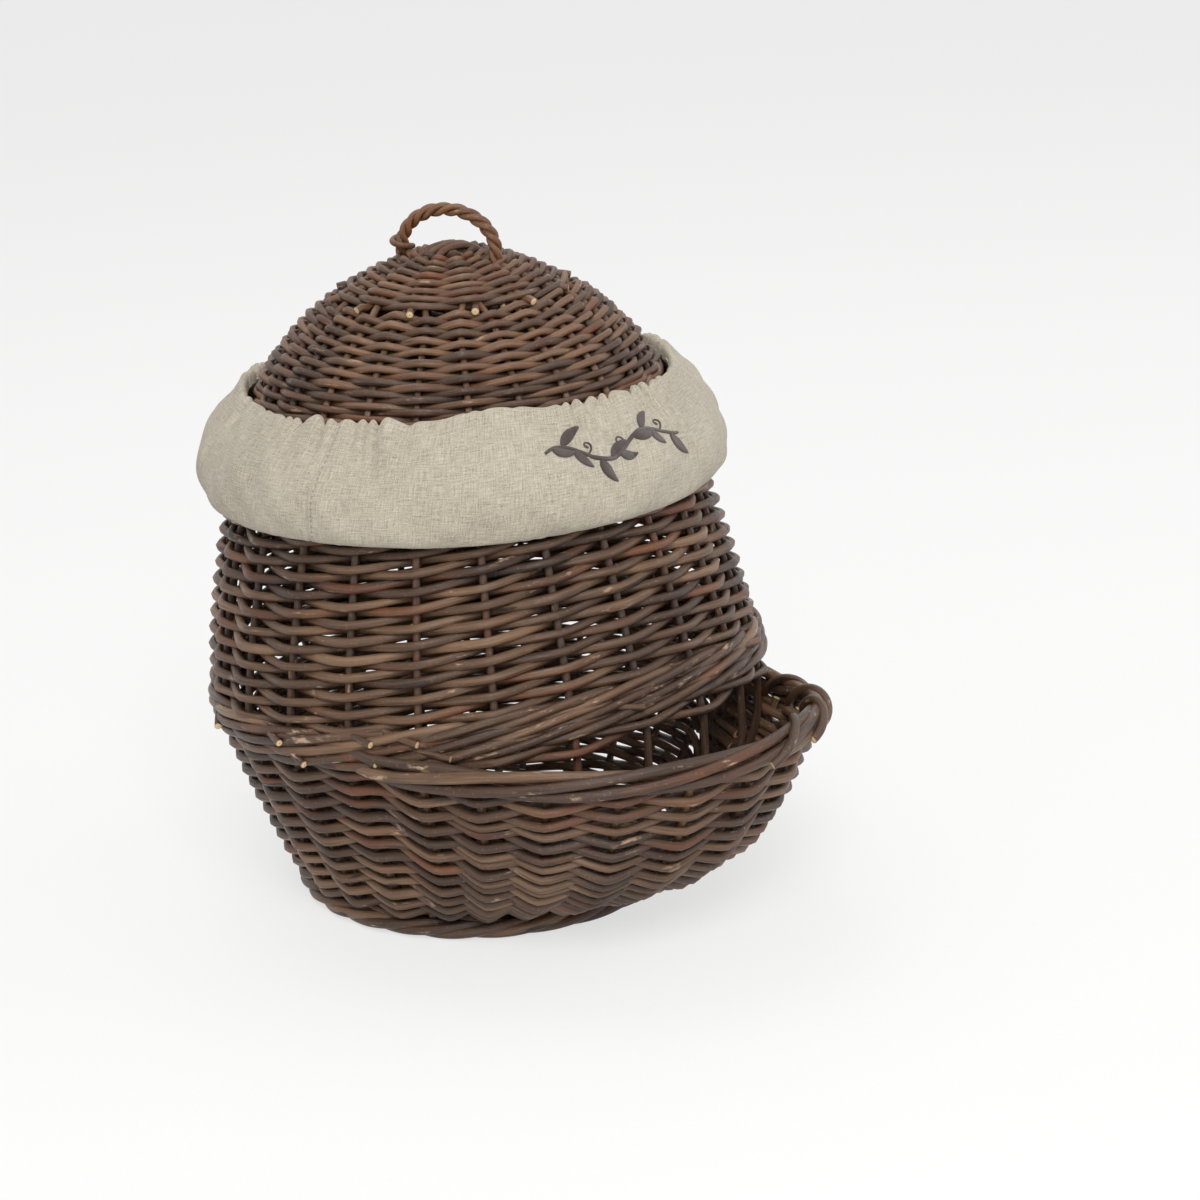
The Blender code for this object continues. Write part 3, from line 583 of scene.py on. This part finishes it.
rng = seeded(17)
rods = []
for phase, below in ((1, 0.0140), (0, 0.0188)):
    rods += woven(apron_wall, stake_turn, lambda at: wale_level - below + front_rise(stake_turn(at)),
                  -3 - phase, 3 - phase, rng, phase)
as_piece("front_apron_rods", rods, *of_wall, "front_apron")


# Upper siding: the same single weave from the waist to the rim, worked with two rods that chase each other
# round the 24 stakes. Its top goes in under the linen.

upper_rows, even_high, upper_high = 30, 0.246, 0.2950


def upper_height(row, turn):
    """Height of a row: 5 mm above the last one, a little less in front, from the top of the wale up to the
    neck, and then by even shares of what is left to the rim."""
    low = wale_level + 0.0098 + front_rise(turn)
    step = 0.00508 - 0.00036 * facing(turn) ** 2
    below = (even_high - low) / step
    packed = even_high + (upper_high - even_high) * ramp(row, below, upper_rows)
    return np.where(row < below, low + step * row, packed)


rng = seeded(18)
rods = []
for weaver in (0, 1):
    rods += woven(upper_wall, stake_turn,
                  lambda at: upper_height(np.maximum(weaver + at / 12, weaver - 1), stake_turn(at)),
                  -23 - weaver, 12 * (upper_rows - 2) + 1 + weaver, rng, weaver, dip=0.0012)
as_piece("upper_siding_rods", rods, *of_wall, "upper_siding")


# Rim border: the ends of the stakes bent over and laid round in a rope of four, to close the neck. The lid
# rests on it.

rng = seeded(19)
as_piece("rim_border_rods", rope_ring(rim_line, rim, 240, 7, 4,
                                      out=0.0028, up=0.0028, radius=0.0022, rng=rng),
         *of_border, "rim_border")


# Linen collar: a tube of natural linen sewn at one side, with elastic run through both hems. The lower hem
# grips the neck, and the cloth puffs out over the wicker and is drawn in to gathers under the lid's edge.

def through(knots, share):
    """A smooth line through knots at even shares from 0 to 1: the cubic between two knots that leaves each
    one in the direction of its neighbours."""
    padded = np.vstack([2 * knots[:1] - knots[1:2], knots, 2 * knots[-1:] - knots[-2:-1]])
    spot = np.clip(np.asarray(share, float), 0, 1) * (len(knots) - 1)
    i = np.minimum(spot.astype(int), len(knots) - 2)
    t = (spot - i)[..., None]
    a, b, c, d = (padded[i + k] for k in range(4))
    bend, twist = 2 * a - 5 * b + 4 * c - d, 3 * b - a - 3 * c + d
    return 0.5 * (2 * b + (c - a) * t + bend * t ** 2 + twist * t ** 3)


collar_profile = np.array([
    (0.1394, 0.2602), (0.1438, 0.2545), (0.1464, 0.2506), (0.1502, 0.2510), (0.1536, 0.2558),
    (0.1554, 0.2632), (0.1556, 0.2708), (0.1541, 0.2790), (0.1503, 0.2872), (0.1448, 0.2948),
    (0.1390, 0.3012), (0.1338, 0.3066), (0.1296, 0.3112), (0.1270, 0.3136), (0.1252, 0.3122),
    (0.1246, 0.3060)])
collar_columns, collar_rows, collar_round = 720, 68, 0.98
seam_turn, seam_slant = radians(-71), 0.11
drawn_together = ((-80, 9), (-59, 7), (7, 17), (70, 16), (118, 18), (165, 15), (215, 14), (246, 8))


def bell(turn, middle, width):
    """The bell curve over a turn: e to the minus square of the way from a middle over a width, in degrees."""
    return np.exp(-(from_front(turn - radians(middle)) / radians(width)) ** 2)


def gathers(turn, seed_a, seed_b):
    """Uneven gathers round a hem: the 66-fold wave pushed to and fro by slower waves, with narrow hollows
    and broad crests, deep where the elastic has drawn the cloth together, shallow between, from -1 to 1."""
    pushed = 66 * turn + 3.2 * np.sin(5 * turn + seed_a) + 2.1 * np.sin(13 * turn + seed_b)
    crest = 0.5 + 0.5 * np.sin(pushed + 1.3 * np.sin(29 * turn + seed_a))
    drawn = sum(bell(turn, middle, width) for middle, width in drawn_together)
    swell = 0.66 + 0.34 * np.sin(23 * turn + seed_b) * np.sin(8 * turn)
    return (0.16 + 0.84 * np.minimum(drawn, 1.0)) * (2 * crest ** 0.55 - 1) * swell


def collar_cloth(turn, share):
    """The cloth at a turn and a share of its profile: the profile's radius and height, with gathers that
    fade away below the top hem and faintly above the lower one, a crease along the seam, slow dents across
    the middle, and a top edge that rises and falls and is scalloped by the gathers."""
    turn, share = np.broadcast_arrays(turn, share)
    radius, height = np.moveaxis(through(collar_profile, share), -1, 0)
    at_low, gathered = 1 - ease(share, 0.10, 0.30), gathers(turn, 0.4, 2.1)
    top_folds = 0.0031 * gathered * ease(share, 0.42, 0.84) ** 1.6 * (1 - 0.3 * ease(share, 0.90, 0.99))
    low_folds = 0.0005 * gathers(turn + 0.4, 1.7, 0.3) * at_low
    long_folds = 0.0011 * gathers(0.45 * turn + 0.02 * np.sin(6 * turn), 1.1, 0.7)
    long_folds = long_folds * ease(share, 0.28, 0.55) * (1 - ease(share, 0.7, 0.85))
    from_seam = from_front(turn - seam_turn + seam_slant * (1 - share)) * radius
    crease = 0.0010 * np.exp(-(from_seam / 0.0010) ** 2) * ease(share, 0.03, 0.10)
    dents = 0.0013 * np.sin(7 * turn + 0.8 + 9 * share) + 0.0008 * np.sin(17 * turn - 14 * share)
    dents = dents + 0.0005 * np.sin(31 * turn + 21 * share)
    dents = dents * ease(share, 0.14, 0.34) * (1 - ease(share, 0.6, 0.85))
    edge = 0.0012 * np.sin(5 * turn + 1.0) + 0.0008 * np.sin(11 * turn + 2.0) + 0.0078 * bell(turn, -29, 20)
    edge = (edge + 0.0010 * gathered * ease(share, 0.7, 0.9)) * ease(share, 0.45, 0.9)
    up_it = through(collar_profile, share + 0.01) - through(collar_profile, share - 0.01)
    square = unit(np.stack([up_it[..., 1], -up_it[..., 0]], -1))
    square = square * (top_folds + low_folds + long_folds - crease + dents)[..., None]
    height = height + square[..., 1] + edge + 0.0007 * np.sin(6 * turn + 2.4) * at_low
    return place(turn, radius + square[..., 0], height)


def sheet_grid(points, closed):
    """Corner numbers of the squares of a grid of points, joined up where its first side is closed."""
    first, second = points.shape[:2]
    i, j = np.meshgrid(np.arange(first if closed else first - 1), np.arange(second - 1), indexing="ij")
    here, after = i * second + j, (i + 1) % first * second + j
    return np.stack([here, after, after + 1, here + 1], -1).reshape(-1, 4)


def cloth_piece(name, points, faces, uv_map, uv, finish):
    """A smooth mesh with its UV map and its finish, as an object of the scene."""
    mesh = bpy.data.meshes.new(name)
    mesh.from_pydata(points.reshape(-1, 3), [], faces)
    mesh.uv_layers.new(name=uv_map).data.foreach_set("uv", uv.astype(np.float32).ravel())
    mesh.shade_smooth()
    mesh.materials.append(finish)
    return linked(name, mesh)


def natural_linen():
    """Washed natural linen in plain weave. Its real threads stand 0.5 mm apart, and are drawn here 0.9 mm
    apart so that they show. The eye gets a dry, slightly uneven grey-cream cloth with thick and thin
    threads, painted shade in the pits between them, and a faint soft sheen where it turns away."""
    made = bpy.data.materials.new("washed_natural_linen")
    add = node_adder(made)
    cut = add("UVMap", uv_map="cut_cloth")
    split = add("SeparateXYZ", [cut])
    waver = add("TexNoise", {"Vector": cut, "Scale": 160.0, "Detail": 2.0})
    pushed = add("Math", [waver, 5.0], "MULTIPLY")
    threads, slubs = [], []
    for axis, stretch in ((0, (1500.0, 110.0, 1.0)), (1, (110.0, 1500.0, 1.0))):
        phase = add("Math", [split.outputs[axis], tau / 0.0009, pushed], "MULTIPLY_ADD")
        threads.append(add("Math", [phase], "SINE"))
        longer = add("Mapping", {"Vector": cut, "Scale": stretch})
        slubs.append(add("TexNoise", {"Vector": longer, "Scale": 1.0, "Detail": 2.0}))
    crossed = add("Math", [threads[0], threads[1]], "MULTIPLY")
    lumpy = add("Math", [slubs[0], slubs[1]], "ADD")
    flecks = add("TexNoise", {"Vector": cut, "Scale": 1100.0, "Detail": 2.0})
    cloud = add("TexNoise", {"Vector": add("TexCoord").outputs["Object"], "Scale": 25.0, "Detail": 3.0})
    # The weave's crossing pattern lightens the colour where the threads stand high and darkens it in the pits
    # between them: painted shade.
    tone = lumpy
    for pattern, weight in ((crossed, 0.14), (flecks, 0.9), (cloud, 0.35)):
        tone = add("Math", [pattern, weight, tone], "MULTIPLY_ADD")
    spread = add("MapRange", [tone, 1.15, 2.10])
    colour = add("ValToRGB", [spread],
                 stops=[(0.0, "877d6f"), (0.3, "a89f8e"), (0.6, "bcb3a1"), (1.0, "d2cabb")])
    seam = add("Math", [split.outputs[0], 0.0036, 0.0006], "COMPARE")
    stitches = add("Math", [split.outputs[1], tau / 0.0034], "MULTIPLY")
    stitches = add("Math", [add("Math", [stitches], "SINE"), -0.2], "GREATER_THAN")
    dark = add("Math", [seam, stitches], "MULTIPLY")
    dark = add("Math", [dark, 0.45], "MULTIPLY")
    sewn = add("Mix", {0: dark, 6: colour, 7: linear("6f6454")}, data_type="RGBA").outputs[2]
    lift = add("Math", [crossed, 0.5, lumpy], "MULTIPLY_ADD")
    bump = add("Bump", {"Strength": 0.5, "Distance": 0.0004, "Height": lift})
    shader = add("BsdfPrincipled", {"Base Color": sewn, "Roughness": 0.88, "Normal": bump, "IOR": 1.45,
                                    "Sheen Weight": 0.12, "Sheen Roughness": 0.5})
    add("OutputMaterial", [shader])
    return made


columns, shares = np.arange(collar_columns) / collar_columns, np.linspace(0, 1, collar_rows)
turn, share = np.meshgrid(seam_turn + tau * columns, shares, indexing="ij")
cloth_points = collar_cloth(turn - seam_slant * (1 - share), share)
cloth_faces = sheet_grid(cloth_points, True)
cloth_way = way_along(through(collar_profile, shares))
column, row = np.divmod(cloth_faces, collar_rows)
closing = column.max(1, keepdims=True) == collar_columns - 1
column = np.where((column == 0) & closing, collar_columns, column)
cut_places = np.stack([column / collar_columns * collar_round, cloth_way[row]], -1)
collar = cloth_piece("linen_collar_cloth", cloth_points, cloth_faces, "cut_cloth", cut_places,
                     natural_linen())
doubled = collar.modifiers.new("cloth_thickness", "SOLIDIFY")
doubled.thickness, doubled.offset = 0.0008, -1.0
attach(collar, "basket")
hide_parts("linen_collar")


# Collar's trimmings: a sprig in satin stitch at the front, sewn through the linen in dark brown thread with a
# silky gleam, and the two rings of covered elastic inside the hems.

def on_collar(across, up, lift):
    """A point of the embroidery: across and up in metres from the middle of its place, laid on the cloth
    and lifted square to it."""
    turn = np.radians(-4.0) + across / 0.150
    share = np.interp(up + 0.0455, cloth_way - cloth_way[int(0.2 * (collar_rows - 1))], shares)
    around = collar_cloth(turn + 0.004, share) - collar_cloth(turn - 0.004, share)
    upward = collar_cloth(turn, share + 0.006) - collar_cloth(turn, share - 0.006)
    return collar_cloth(turn, share) + unit(np.cross(around, upward)) * lift[..., None]


def satin_patch(line, width, sway):
    """A raised patch of satin stitch along a line of (across, up) points: half its width to each side by
    the given widths, lifted in the middle by the square root of what is left to its edge. Its UV is the way
    along, swayed to the side, and the way across, both in metres."""
    ahead = unit(np.gradient(line, axis=0))
    beside = np.stack([-ahead[:, 1], ahead[:, 0]], -1)
    over = np.linspace(-1, 1, 9)
    aside = over * width[:, None]
    spots = line[:, None] + beside[:, None] * aside[..., None]
    lift = 0.00018 + 0.00075 * np.sqrt(np.maximum(1 - over ** 2, 0)) * np.minimum(width / 0.0012, 1)[:, None]
    points = on_collar(spots[..., 0], spots[..., 1], lift)
    return points, np.stack([way_along(line)[:, None] + sway * aside, aside], -1)


def stem_line(share):
    """The trailing stem: from left to right with three soft rises, each lower than the last."""
    up = 0.0062 * np.sin(tau * 1.6 * share + 0.5) * (1.1 - 0.4 * share)
    return np.stack([-0.047 + 0.094 * share, up], -1)


def ribbed(add, along, spacing, pushed, stops, strength, depth, finish):
    """Fine ribs at a spacing: the sine of the way along, pushed by another value, gives their height, and
    their colour from dark between them to light on top: painted shade in the grooves and a painted highlight
    on the crests."""
    phase = add("Math", [along, tau / spacing, pushed], "MULTIPLY_ADD")
    height = add("Math", [phase], "SINE")
    # The colour follows the ribs' height: painted shade between them and a painted highlight on their tops.
    colour = add("ValToRGB", [add("MapRange", [height, -1.0, 1.0])], stops=stops)
    bump = add("Bump", {"Strength": strength, "Distance": depth, "Height": height})
    shader = add("BsdfPrincipled", {"Base Color": colour, "Normal": bump, **finish})
    add("OutputMaterial", [shader])


def satin_thread():
    """Mercerised cotton thread in satin stitch, about 0.4 mm thick. The eye gets dark brown floats laid side
    by side across each leaf, drawn 0.55 mm apart so that they show, with a silky light along them, partly the
    thread's own gloss and partly a painted highlight on their tops, and painted shade between them."""
    made = bpy.data.materials.new("brown_satin_stitch_thread")
    add = node_adder(made)
    split = add("SeparateXYZ", [add("UVMap", uv_map="stitches")])
    waver = add("TexNoise", {"Scale": 900.0, "Vector": add("TexCoord").outputs["Object"]})
    browns = [(0.0, "271b17"), (0.6, "3e302b"), (1.0, "5d4a42")]
    ribbed(add, split.outputs[0], 0.00055, waver, browns, 0.6, 0.0002,
           {"Roughness": 0.42, "Sheen Weight": 0.2, "IOR": 1.5})
    return made


along, share = np.linspace(0, 1, 90), np.linspace(0, 1, 26)
patches = [satin_patch(stem_line(along), 0.00075 + 0.0005 * np.sin(pi * along) ** 0.5, 0.0)]
for i, start in enumerate(np.linspace(0.05, 0.93, 13)):
    side = 1 if i % 2 else -1
    root, ahead = stem_line(np.array([start, start + 0.01]))
    heading = math.atan2(*(ahead - root)[::-1]) + side * radians(48 + 9 * math.sin(2.1 * i))
    if i % 4 == 3:
        bends, step = heading + side * 6.8 * share ** 1.3, 0.019 / 25 * (1.25 - share)
        width, sway = 0.00055 + 0.0008 * ease(share, 0.8, 1.0), 0.2
    else:
        bends, step = heading - side * 0.55 * share, np.full(26, (0.0150 + 0.0026 * math.sin(1.7 * i)) / 25)
        width, sway = 0.0027 * np.sin(pi * share ** 0.8) ** 0.9 * np.minimum(1, 1.02 - share * 0.15), 0.9
        width = 0.00045 + width
    line = root + np.cumsum(np.stack([np.cos(bends), np.sin(bends)], -1) * step[:, None], axis=0)
    patches.append(satin_patch(line, width, sway))

first = np.cumsum([0] + [points.size // 3 for points, _ in patches])
patch_faces = [sheet_grid(points, False)[:, ::-1] for points, _ in patches]
sprig_uv = [uv.reshape(-1, 2)[faces] for (_, uv), faces in zip(patches, patch_faces)]
sprig = cloth_piece("embroidered_sprig", np.concatenate([points.reshape(-1, 3) for points, _ in patches]),
                    np.concatenate([faces + number for faces, number in zip(patch_faces, first)]),
                    "stitches", np.concatenate(sprig_uv), satin_thread())
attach(sprig, "basket")


def covered_elastic():
    """Braided elastic covered in cream cotton, 2 mm thick: fine slanting ribs 0.8 mm apart, with painted shade
    between them and a painted highlight on their tops, and a dull skin.
    """
    made = bpy.data.materials.new("cotton_covered_elastic")
    add = node_adder(made)
    split = add("SeparateXYZ", [add("UVMap", uv_map="along_rod")])
    slant = add("Math", [split.outputs[1], tau], "MULTIPLY")
    creams = [(0.0, "a79c87"), (1.0, "d8cfbb")]
    ribbed(add, split.outputs[0], 0.0008, slant, creams, 0.5, 0.0003, {"Roughness": 0.8})
    return made


elastic_skin = covered_elastic()
round_it = np.linspace(0, tau, 180, endpoint=False)
for name, reach, level, node in (("top_elastic_ring", 0.1251, 0.3088, "collar_top_elastic"),
                                 ("lower_elastic_ring", 0.1448, 0.2530, "collar_lower_elastic")):
    ring = rod(place(round_it, reach, level), 0.0009, outward_at(round_it), 0.5, closed=True)
    as_piece(name, [ring], elastic_skin, "elastic", "basket", node)


# Lid border: the ends of the lid's stakes turned over and laid round its open edge in a rope of three. It is
# what rests on the rim, and the linen stands up round it.

lid_edge, lid_seat, lid_rise = 0.1215, 0.3073, 0.084
of_lid = (steamed_willow("steamed_willow_lid", "2f2018", "5c4230", "85644b", "744228", "ab8e74", 0.55),
          "willow_lid", "lid")
rng = seeded(21)
as_piece("lid_border_rods", rope_ring(lid_edge - 0.005, lid_seat, 240, 7, 3,
                                      out=0.0026, up=0.0026, radius=0.0024, rng=rng),
         *of_lid, "lid_border")


# Lid siding: the domed side of the lid, woven with single rods that chase each other round 24 stakes, from
# the border up to the crown.

dome_rise = 1 - (1 - np.linspace(0, 1, 1500)) ** 2
dome_radius = lid_edge * (1 - dome_rise ** 1.5) ** 0.63
dome_height = lid_seat + lid_rise * dome_rise
dome_way = way_along(np.stack([dome_radius, dome_height], -1))


def dome(turn, way):
    """The lid's skin at a turn and a way up from its edge in metres. At a share of the rise, the radius is
    the edge's times the 0.63 power of what is left of 1 less the share's 1.5 power."""
    way = np.clip(way, 0, dome_way[-1])
    return place(turn, np.interp(way, dome_way, dome_radius), np.interp(way, dome_way, dome_height))


def way_at(radius):
    """The way up the dome to where it has a radius."""
    return float(np.interp(-radius, -dome_radius, dome_way))


lid_rod, lid_stake_radius, lid_depth = 0.00225, 0.0020, 0.0065
lid_rows, lid_low, crown_edge, crown_top = 19, 0.0072, way_at(0.069), way_at(0.0128)
rng = seeded(22)
rods = []
for weaver in (0, 1):
    rods += woven(dome, stake_turn,
                  lambda at: lid_low + (crown_edge - 0.0006 - lid_low)
                  * np.clip((weaver + at / 12) / lid_rows, (weaver - 1) / lid_rows, 1),
                  -23 - weaver, 12 * (lid_rows - 1) + 1 + weaver, rng, weaver, lid_rod, lid_depth,
                  lid_stake_radius)
as_piece("lid_siding_rods", rods, *of_lid, "lid_siding")


# Lid crown: the round start of the lid, woven on six crossed sticks. Each row dips over its sticks, so the
# crown shows stacked arrowheads.

rng = seeded(23)
crown_rows, crown_low, rods = 17, crown_edge + 0.0014, []
for weaver in (0, 1):
    rods += woven(dome, lambda at: np.radians(30 * at),
                  lambda at: crown_low + (crown_top - crown_low) * ramp(weaver + at / 6, 0, crown_rows),
                  1 - weaver, 6 * (crown_rows - 1) + 1 + weaver, rng, weaver, 0.00205, lid_depth,
                  lid_stake_radius, dip=0.0028, least=3, most=5)
as_piece("lid_crown_rods", rods, *of_lid, "lid_crown")


# Lid sticks and stakes: three sticks across three, bound at the middle, and four stakes pushed in beside
# the ends of each, which carry the dome's weave down to the border.

def dome_level(radius):
    """Height of the dome where it has a radius."""
    return np.interp(-radius, -dome_radius, dome_height)


def lid_stick_level(away, crossed):
    """Middle height of a lid stick: under the dome by the weave's depth, the upper three raised flush with
    the weave at the crossing and the lower three just beneath them, and all with their ends brought out."""
    at_crossing = 0.0068 if crossed else 0.0024
    deep = at_crossing + (lid_depth - at_crossing) * ease(away, 0.010, 0.024)
    return dome_level(away) - deep + 0.0052 * ease(away, 0.062, 0.0705)


rng = seeded(24)
rods = star_sticks(0.0715, star_spacing, lid_stick_level, 0.0022, rng)
stake_top = way_at(0.050)
for at in range(24):
    stick_turn = radians(30 * round((7.5 + 15 * at) / 30))
    way = np.linspace(stake_top, 0.0065, 26)
    share = 0.35 + 0.65 * ease(way, stake_top, way_at(0.078))
    path, outward = under(dome, stick_turn + (stake_turn(at) - stick_turn) * share, way, lid_depth)
    rods.append(rod(path, lid_stake_radius, outward, rng.random()))
as_piece("lid_sticks_and_stakes", rods, *of_lid,
         *[f"lid_stick_{layer}_{i}" for layer in ("lower", "upper") for i in (1, 2, 3)])


# Handle: three thick rods of golden brown willow laid round each other over a low arch. Their ends go down
# through the crown beside its sticks, and one is wound once round the left foot.

handle_willow = steamed_willow("golden_brown_willow_handle",
                               "4a2f20", "80583a", "a87c54", "8a4f2c", "c09a70", 0.6)
handle_half, handle_rise, handle_foot = 0.030, 0.023, float(dome_level(0.030)) + 0.0018
rng = seeded(25)
share = np.linspace(-0.09, 1.09, 96)
sweep = pi * (1 - np.clip(share, 0, 1))
across = outward_at(radians(24))
side = np.cross(upright, across)
below = np.minimum(share, 0) - np.maximum(share - 1, 0)
level = handle_foot + handle_rise * np.sin(sweep) + 0.10 * below
middle = place(0, 0, level) + across * (handle_half * np.cos(sweep))[:, None]
away = across * np.cos(sweep)[:, None] + upright * np.sin(sweep)[:, None]
rods = twisted(middle, away, side, 3.5 * share, 3, out=0.00225, up=0.00225, radius=0.0019, rng=rng,
               sides=12, closed=False)
turn = np.linspace(0.6, 0.6 + tau * 1.15, 60)
circle = across * np.cos(turn)[:, None] + side * np.sin(turn)[:, None]
wrap = place(0, 0, handle_foot + 0.0075 - 0.0085 * ramp(turn, turn[0], turn[-1])) - across * 0.0298
wrap = wrap + circle * (0.0022 + 0.0036 * ease(turn, 0.6, 1.8))[:, None]
rods.append(rod(wrap, 0.0018 - 0.0003 * ease(turn, 7.0, 8.5), upright, 0.05, 12))
as_piece("handle_rods", rods, handle_willow, "willow_handle", "lid",
         "handle_rod_1", "handle_rod_2", "handle_rod_3")


# Studio: a pale floor, soft even light from above and the left, and the camera where the photograph was
# taken from, a little turned about its own axis.

def rays_to_camera(add):
    """1 for what the camera sees straight, in a mirror or through glass, and 0 for other light."""
    rays = add("LightPath")
    seen = add("Math", [rays.outputs["Is Camera Ray"], rays.outputs["Is Glossy Ray"]], "MAXIMUM")
    return add("Math", [seen, rays.outputs["Is Transmission Ray"]], "MAXIMUM")


def pale_floor():
    """Matt white paper: even, a little soft in its shadow, with no gloss."""
    made = bpy.data.materials.new("matt_white_paper")
    add = node_adder(made)
    fibre = add("TexNoise", {"Vector": add("TexCoord").outputs["Object"], "Scale": 600.0, "Detail": 2.0})
    colour = add("ValToRGB", [fibre], stops=[(0.3, "efefee"), (0.7, "f4f4f3")])
    shader = add("BsdfPrincipled", {"Base Color": colour, "Roughness": 0.95})
    glow = add("Emission", [(1.0, 1.0, 1.0, 1.0), 1.0])
    share = add("Math", [rays_to_camera(add), 0.66], "MULTIPLY")
    add("OutputMaterial", [add("MixShader", [share, shader, glow])])
    return made


floor_mesh = bpy.data.meshes.new("floor")
corners = [(-15, -15, -0.0004), (15, -15, -0.0004), (15, 15, -0.0004), (-15, 15, -0.0004)]
floor_mesh.from_pydata(corners, [], [(0, 1, 2, 3)])
floor_mesh.materials.append(pale_floor())
floor = linked("floor", floor_mesh)

world = bpy.data.worlds.new("studio")
bpy.context.scene.world = world
add = node_adder(world)
lit = add("Background", [(1.0, 1.0, 1.0, 1.0), 0.50])
white = add("Background", [(1.0, 1.0, 1.0, 1.0), 1.0])
add("OutputWorld", [add("MixShader", [rays_to_camera(add), lit, white])])


def stand(item, spot, back, roll=0.0):
    """Put a lamp or a camera at a spot, with its back in a direction, turned about that from upright."""
    level = unit(np.cross(upright, back))
    above = np.cross(back, level)
    right = level * math.cos(roll) - above * math.sin(roll)
    up = level * math.sin(roll) + above * math.cos(roll)
    item.matrix_world = Matrix(np.vstack([np.column_stack([right, up, back, spot]), (0, 0, 0, 1)]))


for name, spot, size, watts in (("key", (-1.3, -1.7, 2.0), 1.2, 46), ("fill", (2.0, -1.4, 1.2), 1.8, 12),
                                ("top", (0.2, 0.9, 2.4), 1.6, 12)):
    lamp = bpy.data.lights.new(name, "AREA")
    lamp.shape, lamp.size, lamp.energy = "SQUARE", size, watts
    stand(linked(name, lamp), spot, unit(np.array(spot) - (0, 0, 0.2)))

azimuth, elevation, roll, distance = radians(-40), radians(17), radians(4), 1.8
back = outward_at(azimuth) * math.cos(elevation) + upright * math.sin(elevation)
lens = bpy.data.cameras.new("photo_camera")
lens.lens, lens.sensor_width, lens.shift_x, lens.shift_y = 90, 36, 0.1083, -0.0379
camera = linked("photo_camera", lens)
stand(camera, place(0, 0, 0.2) + back * distance, back, roll)
bpy.context.scene.camera = camera
bpy.context.scene.view_settings.view_transform = "Standard"
